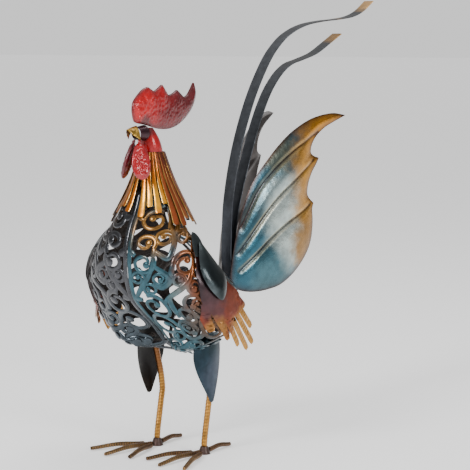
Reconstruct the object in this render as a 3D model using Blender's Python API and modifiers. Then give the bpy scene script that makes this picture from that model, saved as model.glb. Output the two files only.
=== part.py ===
"""A standing rooster made of painted sheet metal and rod.

Metres, +Z up. The rooster faces -Y and its left side is +X. It stands on z = 0, with the
middle of its outer box over the origin. Free forms are drawn in units of a 560th of the
height, so one unit is 1 mm at the real size.
"""
import math

import bmesh
import bpy
import numpy as np
from mathutils import Vector
from mathutils.geometry import delaunay_2d_cdt

for old in list(bpy.data.objects):
    bpy.data.objects.remove(old)

# Overall size
HEIGHT = 0.560          # floor to the tip of the front sickle feather
U = HEIGHT / 560        # one drawing unit
GAP = 0.0003            # clearance where two pieces are welded

# Walls
SHELL_WALL = 0.0014     # pierced body halves
SHEET = 0.0010          # capes, wings, thighs, hood
TAIL_SHEET = 0.0009     # tail plates
RIBBON_WALL = 0.0014    # sickle ribbons

SEAM = 0.9 * SHELL_WALL + GAP / 2      # from the middle plane to each body half

# Widths and rods
SCROLL_LEFT_W = 0.0048  # scroll bands of the left body half
SCROLL_RIGHT_W = 0.0062
FIELD_W = 0.0070        # bands of the running field behind
RIM_W = 0.0044          # plain rims of the body
RIBBON_W = 0.0160
LEG_D = 0.0080
TOE_D = 0.0066
TOE_ARCH = 0.0020
FOOT_R = 0.0080         # weld pad under the leg
FOOT_H = 0.0090
COMB_EDGE = 0.0030
COMB_BULGE = 0.0050     # swelling on each side of the comb
WATTLE_EDGE = 0.0020
WATTLE_BULGE = 0.0028
TAIL_DOME = 0.0110
CREASE_DEPTH = 0.0030

# Places
LEG_X = 37 * U          # half the spacing of the legs, a share of the height as the body's form is
LEG_STRAIGHT = 0.0060   # straight end of each leg under the body's rim
SPLAY = math.radians(14)        # tail plates from the middle plane
TOE_FAN = math.radians(24)
FOOT_TURN = {1: math.radians(-3), -1: math.radians(11)}   # each foot turned outwards

# Stations of the body, from the bottom up:
# height, front seam, widest place, back seam, half width, forward swell beside the seam
BODY = (
    (118, 22, 0, 34, 34, 24),
    (130, -5, -8, 40, 36, 30),
    (137, -18, -15, 45, 53, 32),
    (147, -31, -18, 50, 74, 24),
    (158, -43, -20, 56, 89, 15),
    (181, -71, -28, 82, 95, 5),
    (195, -86, -32, 98.5, 94, 1),
    (217, -97, -45, 72, 90, 0),
    (235, -100, -53, 45, 82, 0),
    (259, -100, -55, 12, 70, 0),
    (272, -97, -54, -7, 61, 0),
    (288, -91, -53, -19, 48, 0),
    (305, -82, -52, -26, 37, 0),
    (323, -75, -51, -31, 28, 0),
)
# Stations of the two hackle capes: height, front, back, half width
CAPE_LOWER = ((298, -89, -16, 47), (318, -80, -24, 34), (340, -74, -31, 23), (373, -68, -38, 13))
CAPE_UPPER = ((286, -97, -8, 57), (305, -88, -15, 46), (340, -77, -27, 27), (373, -69.4, -36.6, 14.4))

# Side outlines, as (forward or back, height)
COMB = (
    (-59, 404), (-68, 406), (-83, 409), (-87, 417), (-88, 425), (-86, 433), (-79, 440), (-69, 447),
    (-60, 450), (-54, 447), (-48, 444), (-40, 448), (-33, 452), (-28, 447), (-21, 439), (-12, 441),
    (-4, 445), (2, 441), (9, 436), (16, 438), (22, 444), (29, 453), (33, 442), (31, 432), (24, 421),
    (12, 411), (-3, 403), (-20, 399), (-40, 399.5),
)
SHOULDER = ((-69, 256), (-66, 266), (-59, 277), (-53, 281), (-48, 278), (-47, 270), (-50, 262), (-56, 254))
COVERT = (
    (-62, 256), (-52, 270), (-46, 257), (-38, 242), (-33, 235), (-32, 228), (-35, 220), (-41, 210),
    (-48, 204), (-57, 210), (-65, 220), (-69, 231), (-70, 242), (-67, 252),
)
PALM = (
    (-67, 255), (-73, 236), (-73, 222), (-69, 204), (-59, 192), (-46, 176), (-37, 170), (-29, 174),
    (-23, 182), (-18, 190), (-14, 199), (-10, 206), (-19, 215), (-27, 222), (-40, 240), (-54, 256),
)
# Fingers of the wing fan: root and tip, each 8 to 9 units wide
FINGERS = (
    ((-64, 200), (-53, 166)), ((-49, 186), (-34, 155)), ((-38, 182), (-15, 145)), ((-30, 184), (3, 138)),
    ((-24, 190), (14, 144)), ((-20, 198), (11, 164)), ((-20, 208), (-2, 190)),
)
TAIL_EDGE = (
    (-10, 194), (-11, 212), (-5, 246), (2, 272), (9, 293), (20, 316), (32, 333), (45, 347), (68, 369),
    (94, 388), (127, 403), (162, 409), (187, 406),
    (166, 398), (150, 391), (136, 381), (128, 370), (126, 359), (131, 354), (140, 351),
    (135, 343), (128, 333), (122, 319), (120, 306), (123, 299), (131, 292),
    (129, 284), (130, 267), (127, 244), (117, 224), (98, 204), (75, 190), (52, 185), (29, 184), (8, 187),
)
CREASES = (
    ((5, 268), (32, 313), (55, 336), (74, 351), (101, 368), (138, 386)),
    ((0, 236), (35, 276), (61, 301), (94, 325), (128, 346)),
    ((2, 214), (32, 237), (63, 259), (93, 276), (120, 290)),
)
THIGH = (
    (-20, 151), (-26, 143), (-29, 131), (-28, 118), (-23, 103), (-14, 86), (-3, 68),
    (5, 68), (13, 86), (20, 103), (24, 118), (25, 131), (23, 143), (17, 151),
)
FRONT_SICKLE = (
    (101, 196), (97, 225), (97, 252), (101, 303), (118, 366), (147, 428), (182, 477), (212, 503),
    (240, 517), (272, 526), (310, 531), (350, 534), (385, 538), (412, 546), (438, 560),
)
REAR_SICKLE = (
    (102.6, 198), (104, 225), (107, 260), (118, 303), (149, 377), (178, 428), (205, 457), (232, 473),
    (262, 480), (295, 488), (328, 502), (355, 514),
)
# Line of the legs below the body rim that they carry, from the foot pad up
LEG_LINE = ((1, 9.4), (1, 12), (3, 25), (10, 60), (12, 72), (9, 92), (4, 110))

collection = bpy.data.collections.new("rooster_sculpture")
bpy.context.scene.collection.children.link(collection)


def material(name, colour, roughness, metallic):
    """A Principled material from an sRGB hex colour."""
    made = bpy.data.materials.get(name) or bpy.data.materials.new(name)
    made.use_nodes = True
    shader = made.node_tree.nodes["Principled BSDF"]
    parts = [int(colour[i:i + 2], 16) / 255 for i in (0, 2, 4)]
    linear = [c / 12.92 if c <= 0.04045 else ((c + 0.055) / 1.055) ** 2.4 for c in parts]
    shader.inputs["Base Color"].default_value = (*linear, 1)
    shader.inputs["Roughness"].default_value = roughness
    shader.inputs["Metallic"].default_value = metallic
    made.diffuse_color = (*linear, 1)
    return made


def add_object(name, data, looks, wall=0.0):
    """Put mesh or curve data in the collection, with its material and, for a sheet, its wall."""
    made = bpy.data.objects.new(name, data)
    collection.objects.link(made)
    data.materials.append(looks)
    if wall:
        solid = made.modifiers.new("wall", "SOLIDIFY")
        solid.thickness = wall
        solid.offset = -1
        solid.use_even_offset = False
    return made


def curve_through(points, steps):
    """Points of a smooth line through the given points, with some steps in each span."""
    given = [np.array(p, float) for p in points]
    given = [2 * given[0] - given[1]] + given + [2 * given[-1] - given[-2]]
    line = []
    for a, b, c, d in zip(given, given[1:], given[2:], given[3:]):
        for k in range(steps):
            t = k / steps
            line.append(0.5 * (2 * b + (c - a) * t + (2 * a - 5 * b + 4 * c - d) * t * t
                               + (3 * b - a - 3 * c + d) * t ** 3))
    line.append(given[-2])
    return line


def smooth_table(rows, at):
    """Rows of a table of stations, read smoothly at any value of their first column."""
    rows = np.array(rows, float)
    keys = rows[:, 0]
    slope = np.gradient(rows, keys, axis=0)
    i = int(np.clip(np.searchsorted(keys, at) - 1, 0, len(keys) - 2))
    h = keys[i + 1] - keys[i]
    t = min(max((at - keys[i]) / h, 0.0), 1.0)
    return ((2 * t ** 3 - 3 * t ** 2 + 1) * rows[i] + (t ** 3 - 2 * t ** 2 + t) * h * slope[i]
            + (3 * t ** 2 - 2 * t ** 3) * rows[i + 1] + (t ** 3 - t ** 2) * h * slope[i + 1])


def body_point(share, height):
    """Outer face of the left body half: share 0 is the front seam, 1 the back seam."""
    _, front, waist, back, half, swell = smooth_table(BODY, height)
    angle = (share - 0.5) * math.pi
    power = 2.2 if angle < 0 else 1.3
    c, s = abs(math.cos(angle)), math.sin(angle)
    reach = (c ** power + abs(s) ** power) ** (-1 / power)
    depth = (waist - front) if s < 0 else (back - waist)
    forward = swell * math.sin(math.pi * share / 0.5) if share < 0.5 else 0.0
    return np.array((SEAM / U + half * reach * c, waist + depth * reach * s - forward, height))


DATUM = (158, 51)       # a height, and its distance up the side in the flat pattern


def body_levels():
    """Heights of the body against the distance up its side."""
    heights = np.linspace(BODY[0][0], BODY[-1][0], 60)
    side = [body_point(0.5, z) for z in heights]
    climb = np.concatenate(([0.0], np.cumsum([np.linalg.norm(b - a) for a, b in zip(side, side[1:])])))
    round_it = []
    for z in heights:
        ring = [body_point(s, z) for s in np.linspace(0, 1, 41)]
        round_it.append(sum(np.linalg.norm(b - a) for a, b in zip(ring, ring[1:])))
    climb += DATUM[1] - np.interp(DATUM[0], heights, climb)
    return heights, climb, np.array(round_it)


HEIGHTS, CLIMB, ROUND = body_levels()


def unroll(flat):
    """Place of a flat pattern point: units round from the front seam, units up the side."""
    height = float(np.interp(flat[1], CLIMB, HEIGHTS))
    share = flat[0] / float(np.interp(flat[1], CLIMB, ROUND))
    return body_point(min(max(share, 0.0012), 0.9975), height)


def anticlockwise(outline):
    """The outline, turned round if it runs clockwise."""
    turn = sum(a[0] * b[1] - b[0] * a[1] for a, b in zip(outline, list(outline[1:]) + [outline[0]]))
    return list(outline) if turn > 0 else list(outline)[::-1]


def flat_union(cells, extra, lines, merge):
    """Triangles that cover the union of flat outlines."""
    points, faces, edges = [], [], []
    for cell in cells:
        cell = anticlockwise(cell)
        faces.append(list(range(len(points), len(points) + len(cell))))
        points += [Vector((float(p[0]), float(p[1]))) for p in cell]
    for line in lines:
        edges += [(len(points) + k, len(points) + k + 1) for k in range(len(line) - 1)]
        points += [Vector((float(p[0]), float(p[1]))) for p in line]
    points += [Vector((float(p[0]), float(p[1]))) for p in extra]
    verts, _, tris, _, _, owner = delaunay_2d_cdt(points, edges, faces, 0, merge)
    return verts, [list(t) for t, o in zip(tris, owner) if o]


def pinched(tris):
    """Points where two parts of a flat sheet meet at a corner only."""
    sides = {}
    for t in tris:
        for a, b in zip(t, t[1:] + t[:1]):
            sides[frozenset((a, b))] = sides.get(frozenset((a, b)), 0) + 1
    free = {}
    for side, uses in sides.items():
        if uses == 1:
            for k in side:
                free[k] = free.get(k, 0) + 1
    return [k for k, n in free.items() if n > 2]


def border_loops(tris):
    """The closed borders of a flat sheet, each a list of point numbers."""
    directed = {(a, b) for t in tris for a, b in zip(t, t[1:] + t[:1])}
    after = {a: b for a, b in directed if (b, a) not in directed}
    loops = []
    while after:
        first, k = after.popitem()
        loop = [first]
        while k != first:
            loop.append(k)
            k = after.pop(k)
        loops.append(loop)
    return loops


def slimmed(loop, placed, slack):
    """A border without the points that lie within some slack of the straight line past them."""
    kept, last = [loop[0]], 0
    for k in range(2, len(loop) + 1):
        a, b = placed[loop[last]], placed[loop[k % len(loop)]]
        along = (b - a) / max(np.linalg.norm(b - a), 1e-9)
        off = [np.linalg.norm(p - a - along * np.dot(p - a, along)) for p in (placed[j] for j in loop[last + 1:k])]
        if max(off) > slack:
            kept.append(loop[k - 1])
            last = k - 1
    return kept


def lightened(verts, tris, place, slack):
    """The same flat sheet with points on its borders only, as few as its placed shape allows."""
    placed = [np.array(place(v)) for v in verts]
    points, edges = [], []
    for loop in border_loops(tris):
        slim = slimmed(loop, placed, slack)
        edges += [(len(points) + k, len(points) + (k + 1) % len(slim)) for k in range(len(slim))]
        points += [verts[k] for k in slim]
    found, _, made, _, _, _ = delaunay_2d_cdt(points, edges, [], 0, 1e-5)
    flat = np.array([tuple(v) for v in points])
    a, b = flat[[e[0] for e in edges]], flat[[e[1] for e in edges]]
    kept = []
    for t in made:
        x, y = sum((found[k] for k in t), Vector((0, 0))) / 3
        cuts = ((a[:, 1] > y) != (b[:, 1] > y))
        with_rise = np.where(cuts, b[:, 1] - a[:, 1], 1.0)
        if np.count_nonzero(cuts & (x < a[:, 0] + (y - a[:, 1]) * (b[:, 0] - a[:, 0]) / with_rise)) % 2:
            kept.append(list(t))
    return found, kept


def flat_sheet(cells, place, extra=(), lines=(), merge=0.05, slack=0.0):
    """Open mesh over the union of flat outlines, carried into space by place()."""
    cells = list(cells)
    for _ in range(8):
        verts, kept = flat_union(cells, extra, lines, merge)
        corners = pinched(kept)
        if not corners:
            break
        cells += [disc(verts[k], 1.6, 6) for k in corners]
    if slack:
        verts, kept = lightened(verts, kept, place, slack)
    mesh = bpy.data.meshes.new("sheet")
    mesh.from_pydata([Vector((v.x, v.y, 0)) for v in verts], [], kept)
    bm = bmesh.new()
    bm.from_mesh(mesh)
    bmesh.ops.delete(bm, geom=[v for v in bm.verts if not v.link_faces], context="VERTS")
    for vert in bm.verts:
        vert.co = Vector(place(vert.co)) * U
    bm.to_mesh(mesh)
    bm.free()
    return mesh


def mirrored(mesh):
    """The other hand of a mesh, through the middle plane."""
    other = mesh.copy()
    for vert in other.vertices:
        vert.co.x = -vert.co.x
    other.flip_normals()
    return other


def both_sides(name, mesh, looks, wall):
    """A left and a right piece of one sheet."""
    left = add_object(name + "_left", mesh, looks, wall)
    right = add_object(name + "_right", mirrored(mesh), looks, wall)
    return left, right


def band(line, width, end_width=None):
    """Cells of a strip of even width along a flat line."""
    line = [np.array(p, float) for p in line]
    cells, rails = [], []
    for k, p in enumerate(line):
        before, after = line[max(k - 1, 0)], line[min(k + 1, len(line) - 1)]
        along = (after - before) / max(np.linalg.norm(after - before), 1e-9)
        across = np.array((-along[1], along[0]))
        t = k / (len(line) - 1)
        w = width + ((end_width or width) - width) * t
        rails.append((p + across * w / 2, p - across * w / 2))
    for (a, b), (c, d) in zip(rails, rails[1:]):
        cells.append((a, b, d, c))
    return cells


def spiral(centre, radius, start, turn, inner=0.34, step=60):
    """A curl: a line that winds in round its centre, angles in degrees."""
    count = max(3, int(round(abs(turn) / step)))
    line = []
    for k in range(count + 1):
        t = k / count
        angle = math.radians(start + turn * t)
        r = radius * (1 - (1 - inner) * max(0, (t - 0.25) / 0.75) ** 1.2)
        line.append((centre[0] + r * math.cos(angle), centre[1] + r * math.sin(angle)))
    return line


def disc(centre, radius, sides=6):
    return [(centre[0] + radius * math.cos(2 * math.pi * k / sides),
             centre[1] + radius * math.sin(2 * math.pi * k / sides)) for k in range(sides)]


def curl(centre, radius, start, turn, width):
    """A curl with a round end."""
    line = spiral(centre, radius, start, turn)
    return band(line, width, width * 0.8) + [disc(line[-1], width * 0.75, 5)]


def eye(centre, half_wide, half_high, hand, width):
    """A closed loop that touches its neighbours, with a curl that winds into it."""
    ring = [(centre[0] + half_wide * math.cos(k * math.pi / 4), centre[1] + half_high * math.sin(k * math.pi / 4))
            for k in range(9)]
    line = []
    for k, reach in enumerate((1.0, 0.62, 0.36)):
        angle = math.radians(90 + hand * 80 * k)
        line.append((centre[0] + half_wide * reach * math.cos(angle), centre[1] + half_high * reach * math.sin(angle)))
    return band(ring, width) + band(line, width, width * 0.8) + [disc(line[-1], width * 0.75, 5)]


LOW_RIM = -5            # flat level of the lower rim round the lobes
# The open arch over each thigh, as (share, flat level)
ARCH = ((0.38, -5), (0.40, 22), (0.45, 46), (0.52, 51), (0.70, 51), (0.78, 46), (0.81, 32), (0.77, 12), (0.74, -5))
# Scrolls behind the arch, as (share, flat level)
REAR_LOW = (((0.80, 40), (0.87, 37), (0.91, 24), (0.87, 10), (0.81, 14)), ((0.91, 24), (0.96, 32), (0.985, 46)),
            ((0.87, 10), (0.93, -4)))


def bottom_edge(share):
    """How far up the side the lower rim runs: it drops to the seam in front."""
    seam_end = CLIMB[0] + RIM_W / U / 2
    return seam_end + (LOW_RIM - seam_end) * min(share / 0.12, 1.0)


def round_at(level):
    return float(np.interp(level, CLIMB, ROUND))


def body_pattern(side):
    """Flat cells of one body half: rims, the scrolls that show, and a running field behind."""
    w = (SCROLL_LEFT_W if side > 0 else SCROLL_RIGHT_W) / U
    rim, wide_w = RIM_W / U, FIELD_W / U
    top = CLIMB[-1] - rim / 2
    levels = np.linspace(CLIMB[0] + 0.5, CLIMB[-1], 16)
    cells = band([(0.15 + rim / 2, v) for v in levels], rim)
    cells += band([(round_at(v) * 0.9975 - rim / 2, v) for v in levels if v > bottom_edge(1)], rim)
    cells += band([(x, top) for x in np.linspace(0.5, round_at(top) * 0.9975, 7)], rim)
    shares = np.linspace(0.002, 0.9975, 17)
    cells += band([(share * round_at(bottom_edge(share)), bottom_edge(share)) for share in shares], rim)
    cells += band([(share * round_at(v), v) for share, v in ARCH], rim)
    for line in REAR_LOW:
        cells += band([(share * round_at(v), v) for share, v in curve_through(line, 2)], wide_w)
    for line in STEMS:
        cells += band(curve_through(line, 2), w)
    for centre, radius, start, turn in CURLS:
        cells += curl(centre, radius, start, turn, w)
    for row, left in enumerate(FIELD_LEFT):
        v = FIELD_FIRST + row * FIELD_STEP
        room = round_at(v) - rim
        count = max(1, int(round((room - left) / FIELD_STEP)))
        for k in range(count):
            wide = (room - left) / count
            cells += eye((left + (k + 0.5) * wide, v), wide / 2, FIELD_STEP / 2, 1 if (row + k) % 2 else -1, wide_w)
    return cells


# The scrolls seen from the front left, in flat units: round from the front seam, up the side
CURLS = (
    ((20, 178), 11, -30, 400),      # upper of the two teal curls
    ((20, 151), 13, 40, -430),      # lower of the two
    ((72, 152), 16, 180, -480),     # arch
    ((62, 188), 10, 140, -430),     # copper curl
    ((24, 211), 13, 60, 440),       # big curl under the cape
    ((26, 89), 16, 110, -440),      # low scroll
    ((84, 93), 17, -90, -440),
    ((23, 20), 22, 180, 400), ((60, 22), 15, 180, -420),
    ((20, 60), 16, 0, 420), ((52, 60), 16, 0, -420), ((84, 60), 16, 90, 420),
)
STEMS = (
    ((30, 172), (31.5, 166), (30, 159)),
    ((31, 168), (49, 159), (52, 182), (43, 208)),
    ((31, 156), (26, 134), (3, 96)),
    ((4, 97), (13, 98)),
    ((31, 149), (53, 132), (42, 118), (32, 124)),
    ((53, 132), (56, 152)),
    ((2, 240), (22, 231), (36, 234), (50, 244)),
    ((35, 233), (42, 212), (43, 200)),
    ((45, 240), (54, 212), (52, 192)),
    ((2, 216), (12, 212)),
    ((2, 166), (9, 160)),
    ((86, 146), (76, 126), (50, 104), (40, 92)),
    ((48, 76), (50, 104)),
    ((70, 186), (84, 184), (90, 190)),
    ((84, 166), (84, 184)),
)
FIELD_FIRST = 75
FIELD_STEP = 49
FIELD_LEFT = (101, 100, 92, 60)


def make_body(looks):
    left = flat_sheet(body_pattern(1), unroll, merge=0.3, slack=0.35)
    right = flat_sheet(body_pattern(-1), unroll, merge=0.3, slack=0.35)
    add_object("body_shell_left", left, looks, SHELL_WALL)
    add_object("body_shell_right", mirrored(right), looks, SHELL_WALL)


def ring_point(stations, turn, height):
    """A point of a cape: turn 0 is the back, 1 and -1 the front."""
    _, front, back, half = smooth_table(stations, height)
    angle = turn * math.pi
    c, s = math.sin(angle), math.cos(angle)
    reach = (abs(c) ** 2.1 + abs(s) ** 2.1) ** (-1 / 2.1)
    return ((half * reach * c), (front + back) / 2 + (back - front) / 2 * reach * s, height)


def cape(name, stations, spread, count, tips, fill, looks):
    """A cone of sheet round the neck, whole at the top and cut into hanging strips."""
    low, high = stations[0][0], stations[-1][0]
    band_low = high - 0.22 * (high - low)
    scale = 100.0       # flat width for one half turn
    cells = []
    step = 2 * spread / count
    for k in range(count):
        a = -spread + k * step
        b, c = a, a + step
        cells.append([(b * scale, band_low), (c * scale, band_low), (c * scale, high), (b * scale, high)])
        end = low + tips[k % len(tips)]
        slit = step * (1 - fill) / 2
        left, right = (a + slit) * scale, (a + step - slit) * scale
        rows = np.linspace(band_low, end, 3)
        for top, bottom in zip(rows, rows[1:]):
            cells.append([(left, bottom), (right, bottom), (right, top), (left, top)])
    mesh = flat_sheet(cells, lambda p: ring_point(stations, p[0] / scale, p[1]))
    for vert in mesh.vertices:
        vert.co.x = -vert.co.x
    return add_object(name, mesh, looks, SHEET)


def edge_distance(p, outline):
    """Distance from a flat point to the nearest side of an outline."""
    best = 1e9
    for a, b in zip(outline, outline[1:]):
        a, b = np.array(a, float), np.array(b, float)
        t = np.clip(np.dot(p - a, b - a) / max(np.dot(b - a, b - a), 1e-9), 0, 1)
        best = min(best, np.linalg.norm(p - a - t * (b - a)))
    return best


def inside(p, outline):
    hit = False
    for a, b in zip(outline, list(outline[1:]) + [outline[0]]):
        if (a[1] > p[1]) != (b[1] > p[1]) and p[0] < (b[0] - a[0]) * (p[1] - a[1]) / (b[1] - a[1]) + a[0]:
            hit = not hit
    return hit


def inner_grid(outline, step, clear):
    """Even points inside an outline, kept off its edge."""
    box = np.array(outline, float)
    closed = tuple(outline) + (outline[0],)
    found = []
    for i, x in enumerate(np.arange(box[:, 0].min(), box[:, 0].max(), step)):
        for z in np.arange(box[:, 1].min() + (step / 2 if i % 2 else 0), box[:, 1].max(), step):
            p = np.array((x, z))
            if inside(p, outline) and edge_distance(p, closed) > clear:
                found.append((x, z))
    return found


def pillow(name, outline, place, edge, bulge, reach, looks, step):
    """A closed plate that swells on both faces, from an outline in its own plane."""
    outline = anticlockwise(outline)
    closed = outline + outline[:1]
    points = [Vector(p) for p in outline] + [Vector(p) for p in inner_grid(outline, step, step * 0.45)]
    verts, _, tris, _, _, owner = delaunay_2d_cdt(points, [], [list(range(len(outline)))], 0, 0.01)
    tris = [list(t) for t, o in zip(tris, owner) if o]
    placed, count = [], len(verts)
    for side in (1, -1):
        for v in verts:
            near = min(edge_distance(np.array(v), closed) / reach, 1)
            half = edge / U / 2 + bulge / U * (1 - (1 - near) ** 2)
            placed.append(Vector(place(v[0], v[1], side * half)) * U)
    faces = [t for t in tris] + [[k + count for k in reversed(t)] for t in tris]
    borders = {}
    for t in tris:
        for a, b in zip(t, t[1:] + t[:1]):
            borders[(a, b)] = borders.get((b, a)) is None
            if (b, a) in borders:
                borders[(a, b)] = borders[(b, a)] = False
    faces += [[b, a, a + count, b + count] for (a, b), free in borders.items() if free]
    mesh = bpy.data.meshes.new(name)
    mesh.from_pydata(placed, [], faces)
    mesh.update()
    return add_object(name, mesh, looks)


def make_comb(looks):
    return pillow("comb", COMB, lambda y, z, t: (t, y, z), COMB_EDGE, COMB_BULGE, 16, looks, 11)


WATTLE_TOP = (4.6, -80.8, 385)
WATTLE_FOOT = (14.6, -87.8, 342.5)
WATTLE_HALF = 11.8
WATTLE_TURN = math.radians(24)
WATTLE_TAB = 22.4       # top of the tab that holds a lobe to the beak's collar


def make_wattles(looks):
    """Two egg-shaped lobes that hang under the face by a tab and open outwards to the rear."""
    outline = [(-1.8, 18.6), (-1.5, WATTLE_TAB), (1.5, WATTLE_TAB), (1.8, 18.6)]
    for k in range(1, 12):
        a = 2 * math.pi * k / 12
        outline.append((WATTLE_HALF * math.sin(a) * (1 - 0.18 * math.cos(a)), 19 * math.cos(a)))
    for side, name in ((1, "wattle_left"), (-1, "wattle_right")):
        def place(u, v, t, side=side):
            s = 0.5 - v / 38
            x, y, z = (WATTLE_TOP[i] + (WATTLE_FOOT[i] - WATTLE_TOP[i]) * s for i in range(3))
            x += u * math.sin(WATTLE_TURN) + t * math.cos(WATTLE_TURN)
            y += u * math.cos(WATTLE_TURN) - t * math.sin(WATTLE_TURN)
            return (side * x, y, z)
        made = pillow(name, outline, place, WATTLE_EDGE, WATTLE_BULGE, 8, looks, 6)
        if side < 0:
            made.data.flip_normals()


HOOD_FOOT = (-53, 373.4, 13.6)      # centre, height, radius
HOOD_TOP = (-58, 401.6, 5.0)
HOOD_SWELL = 2.0        # 1 is a straight cone, more is rounder


def make_hood(looks):
    """The red cone of the face, a little rounded, which leans forward."""
    bm = bmesh.new()
    bmesh.ops.create_cone(bm, cap_ends=False, segments=20, radius1=1, radius2=1, depth=1)
    upright = [e for e in bm.edges if abs(e.verts[0].co.z - e.verts[1].co.z) > 0.5]
    bmesh.ops.subdivide_edges(bm, edges=upright, cuts=3)
    for vert in bm.verts:
        x, y, z = vert.co
        share = z + 0.5
        centre, height, _ = (a + (b - a) * share for a, b in zip(HOOD_FOOT, HOOD_TOP))
        radius = HOOD_FOOT[2] + (HOOD_TOP[2] - HOOD_FOOT[2]) * share ** HOOD_SWELL
        vert.co = (x * radius * U, (y * radius + centre) * U, height * U)
    mesh = bpy.data.meshes.new("hood")
    bm.to_mesh(mesh)
    bm.free()
    return add_object("face_hood", mesh, looks, SHEET)


BEAK_REAR = (-81, 404)
BEAK_TIP = (-99, 400)
BEAK_FLAP = (9, -3, -15)            # from the ridge to a lower rear corner
COLLAR = (-67.4, -80.7, 396, 9.4, 7.6)    # rear, front, height, rear and front radius


def make_beak(looks):
    """A folded leaf: a ridge that runs to the tip, with a flap down each side."""
    cells = []
    for i in range(4):
        for j in range(-2, 2):
            a, b = i * 0.235, (i + 1) * 0.235
            cells.append([(a, j / 2), (b, j / 2), (b, (j + 1) / 2), (a, (j + 1) / 2)])
    def place(p):
        s, t = p[0], p[1]
        ridge = np.array((0, BEAK_REAR[0] + (BEAK_TIP[0] - BEAK_REAR[0]) * s,
                          BEAK_REAR[1] + (BEAK_TIP[1] - BEAK_REAR[1]) * s ** 1.6))
        drop = abs(t) * (1 - s) * (1 + 0.5 * s)
        out = math.copysign(math.sin(min(abs(t), 1) * 1.45), t) * (1 - s) * (1 + 0.5 * s)
        return ridge + np.array((BEAK_FLAP[0] * out, BEAK_FLAP[1] * drop, BEAK_FLAP[2] * drop ** 1.25))
    mesh = flat_sheet([[(x * 20, y * 20) for x, y in c] for c in cells], lambda p: place((p[0] / 20, p[1] / 20)))
    mesh.flip_normals()
    return add_object("beak", mesh, looks, SHEET)


def make_collar(looks):
    """The short dark tube behind the beak."""
    rear, front, height, r1, r2 = COLLAR
    bm = bmesh.new()
    bmesh.ops.create_cone(bm, cap_ends=False, segments=16, radius1=r1 * U, radius2=r2 * U, depth=(rear - front) * U)
    mesh = bpy.data.meshes.new("collar")
    bm.to_mesh(mesh)
    bm.free()
    for vert in mesh.vertices:
        x, y, z = vert.co
        vert.co = (x, (rear + front) / 2 * U - z, height * U + y)
    return add_object("beak_collar", mesh, looks, SHEET)


def wing_point(y, z, stand_off):
    """A wing lies on the body's side and runs straight on behind its widest place."""
    z_low = max(z, 181)
    _, front, waist, _, half, _ = smooth_table(BODY, z_low)
    slope = 0.0
    if y < waist:
        q = (waist - y) / (waist - front)
        rest = max(1 - q ** 2.2, 0.05)
        slope = half / (waist - front) * q ** 1.2 * rest ** (1 / 2.2 - 1)
        half *= rest ** (1 / 2.2)
    return np.array((half + stand_off * math.hypot(1, slope), y, z))


def domed(outline, rise, reach):
    closed = tuple(outline) + (outline[0],)
    def height(y, z):
        near = min(edge_distance(np.array((y, z)), closed) / reach, 1)
        return rise * (1 - (1 - near) ** 2)
    return height


WING_OFF = 5.2
COVERT_OFF = 9.4
SHOULDER_OFF = 7.5


def make_wings(shoulder_looks, covert_looks, fan_looks):
    """Three sheets for each wing: the shoulder, the covert leaf over it and the fingered fan."""
    flat = flat_sheet([SHOULDER], lambda p: wing_point(p[0], p[1], SHOULDER_OFF), inner_grid(SHOULDER, 9, 3))
    both_sides("wing_shoulder", flat, shoulder_looks, SHEET)
    rise = domed(COVERT, 5.0, 14)
    leaf = flat_sheet([COVERT], lambda p: wing_point(p[0], p[1], COVERT_OFF + rise(p[0], p[1])),
                      inner_grid(COVERT, 9, 3))
    both_sides("wing_covert", leaf, covert_looks, SHEET)
    cells = [PALM]
    for root, tip in FINGERS:
        cells += band([np.array(root) + (np.array(tip) - np.array(root)) * t for t in (0, 0.33, 0.67, 1)], 8.4, 7.4)
    fan = flat_sheet(cells, lambda p: wing_point(p[0], p[1], WING_OFF), inner_grid(PALM, 14, 5))
    both_sides("wing_fan", fan, fan_looks, SHEET)


TAIL_ROOT = ((RIBBON_W / 2 + GAP + TAIL_SHEET) / U + 3.4, 104)


def tail_height(q, z):
    """Swelling of a tail plate: domed from its edge, with creases that run to the notches."""
    p = np.array((q, z))
    closed = TAIL_EDGE + (TAIL_EDGE[0],)
    near = min(edge_distance(p, closed) / 42, 1)
    crease = min(edge_distance(p, line) for line in CREASES)
    return TAIL_DOME / U * (1 - (1 - near) ** 2) - CREASE_DEPTH / U * math.exp(-(crease / 5) ** 2) * near ** 0.5


def tail_place(p):
    rise = tail_height(p[0], p[1])
    return (TAIL_ROOT[0] + p[0] * math.sin(SPLAY) + rise * math.cos(SPLAY),
            TAIL_ROOT[1] + p[0] * math.cos(SPLAY) - rise * math.sin(SPLAY), p[1])


def make_tail(looks):
    mesh = flat_sheet([TAIL_EDGE], tail_place, inner_grid(TAIL_EDGE, 22, 8), CREASES)
    return both_sides("tail_plate", mesh, looks, TAIL_SHEET)


def ribbon(name, line, looks):
    """A flat strap bent in the middle plane."""
    path = curve_through(line, 2)
    half = RIBBON_W / U / 2
    verts = [Vector((side * half, p[0], p[1])) * U for p in path for side in (-1, 1)]
    faces = [(2 * k, 2 * k + 1, 2 * k + 3, 2 * k + 2) for k in range(len(path) - 1)]
    mesh = bpy.data.meshes.new(name)
    mesh.from_pydata(verts, [], faces)
    mesh.update()
    return add_object(name, mesh, looks, RIBBON_WALL)


def thigh_point(y, z):
    bow = 6.0 * (1 - ((y + 2) / 28) ** 2)
    return (LEG_X / U + LEG_D / U / 2 + GAP / U + SHEET / U + 0.8 + bow, y, z)


def make_thighs(looks):
    """Leaf-shaped sheets that stand outside the legs."""
    mesh = flat_sheet([THIGH], lambda p: thigh_point(p[0], p[1]), inner_grid(THIGH, 12, 4))
    return both_sides("thigh", mesh, looks, SHEET)


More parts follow.
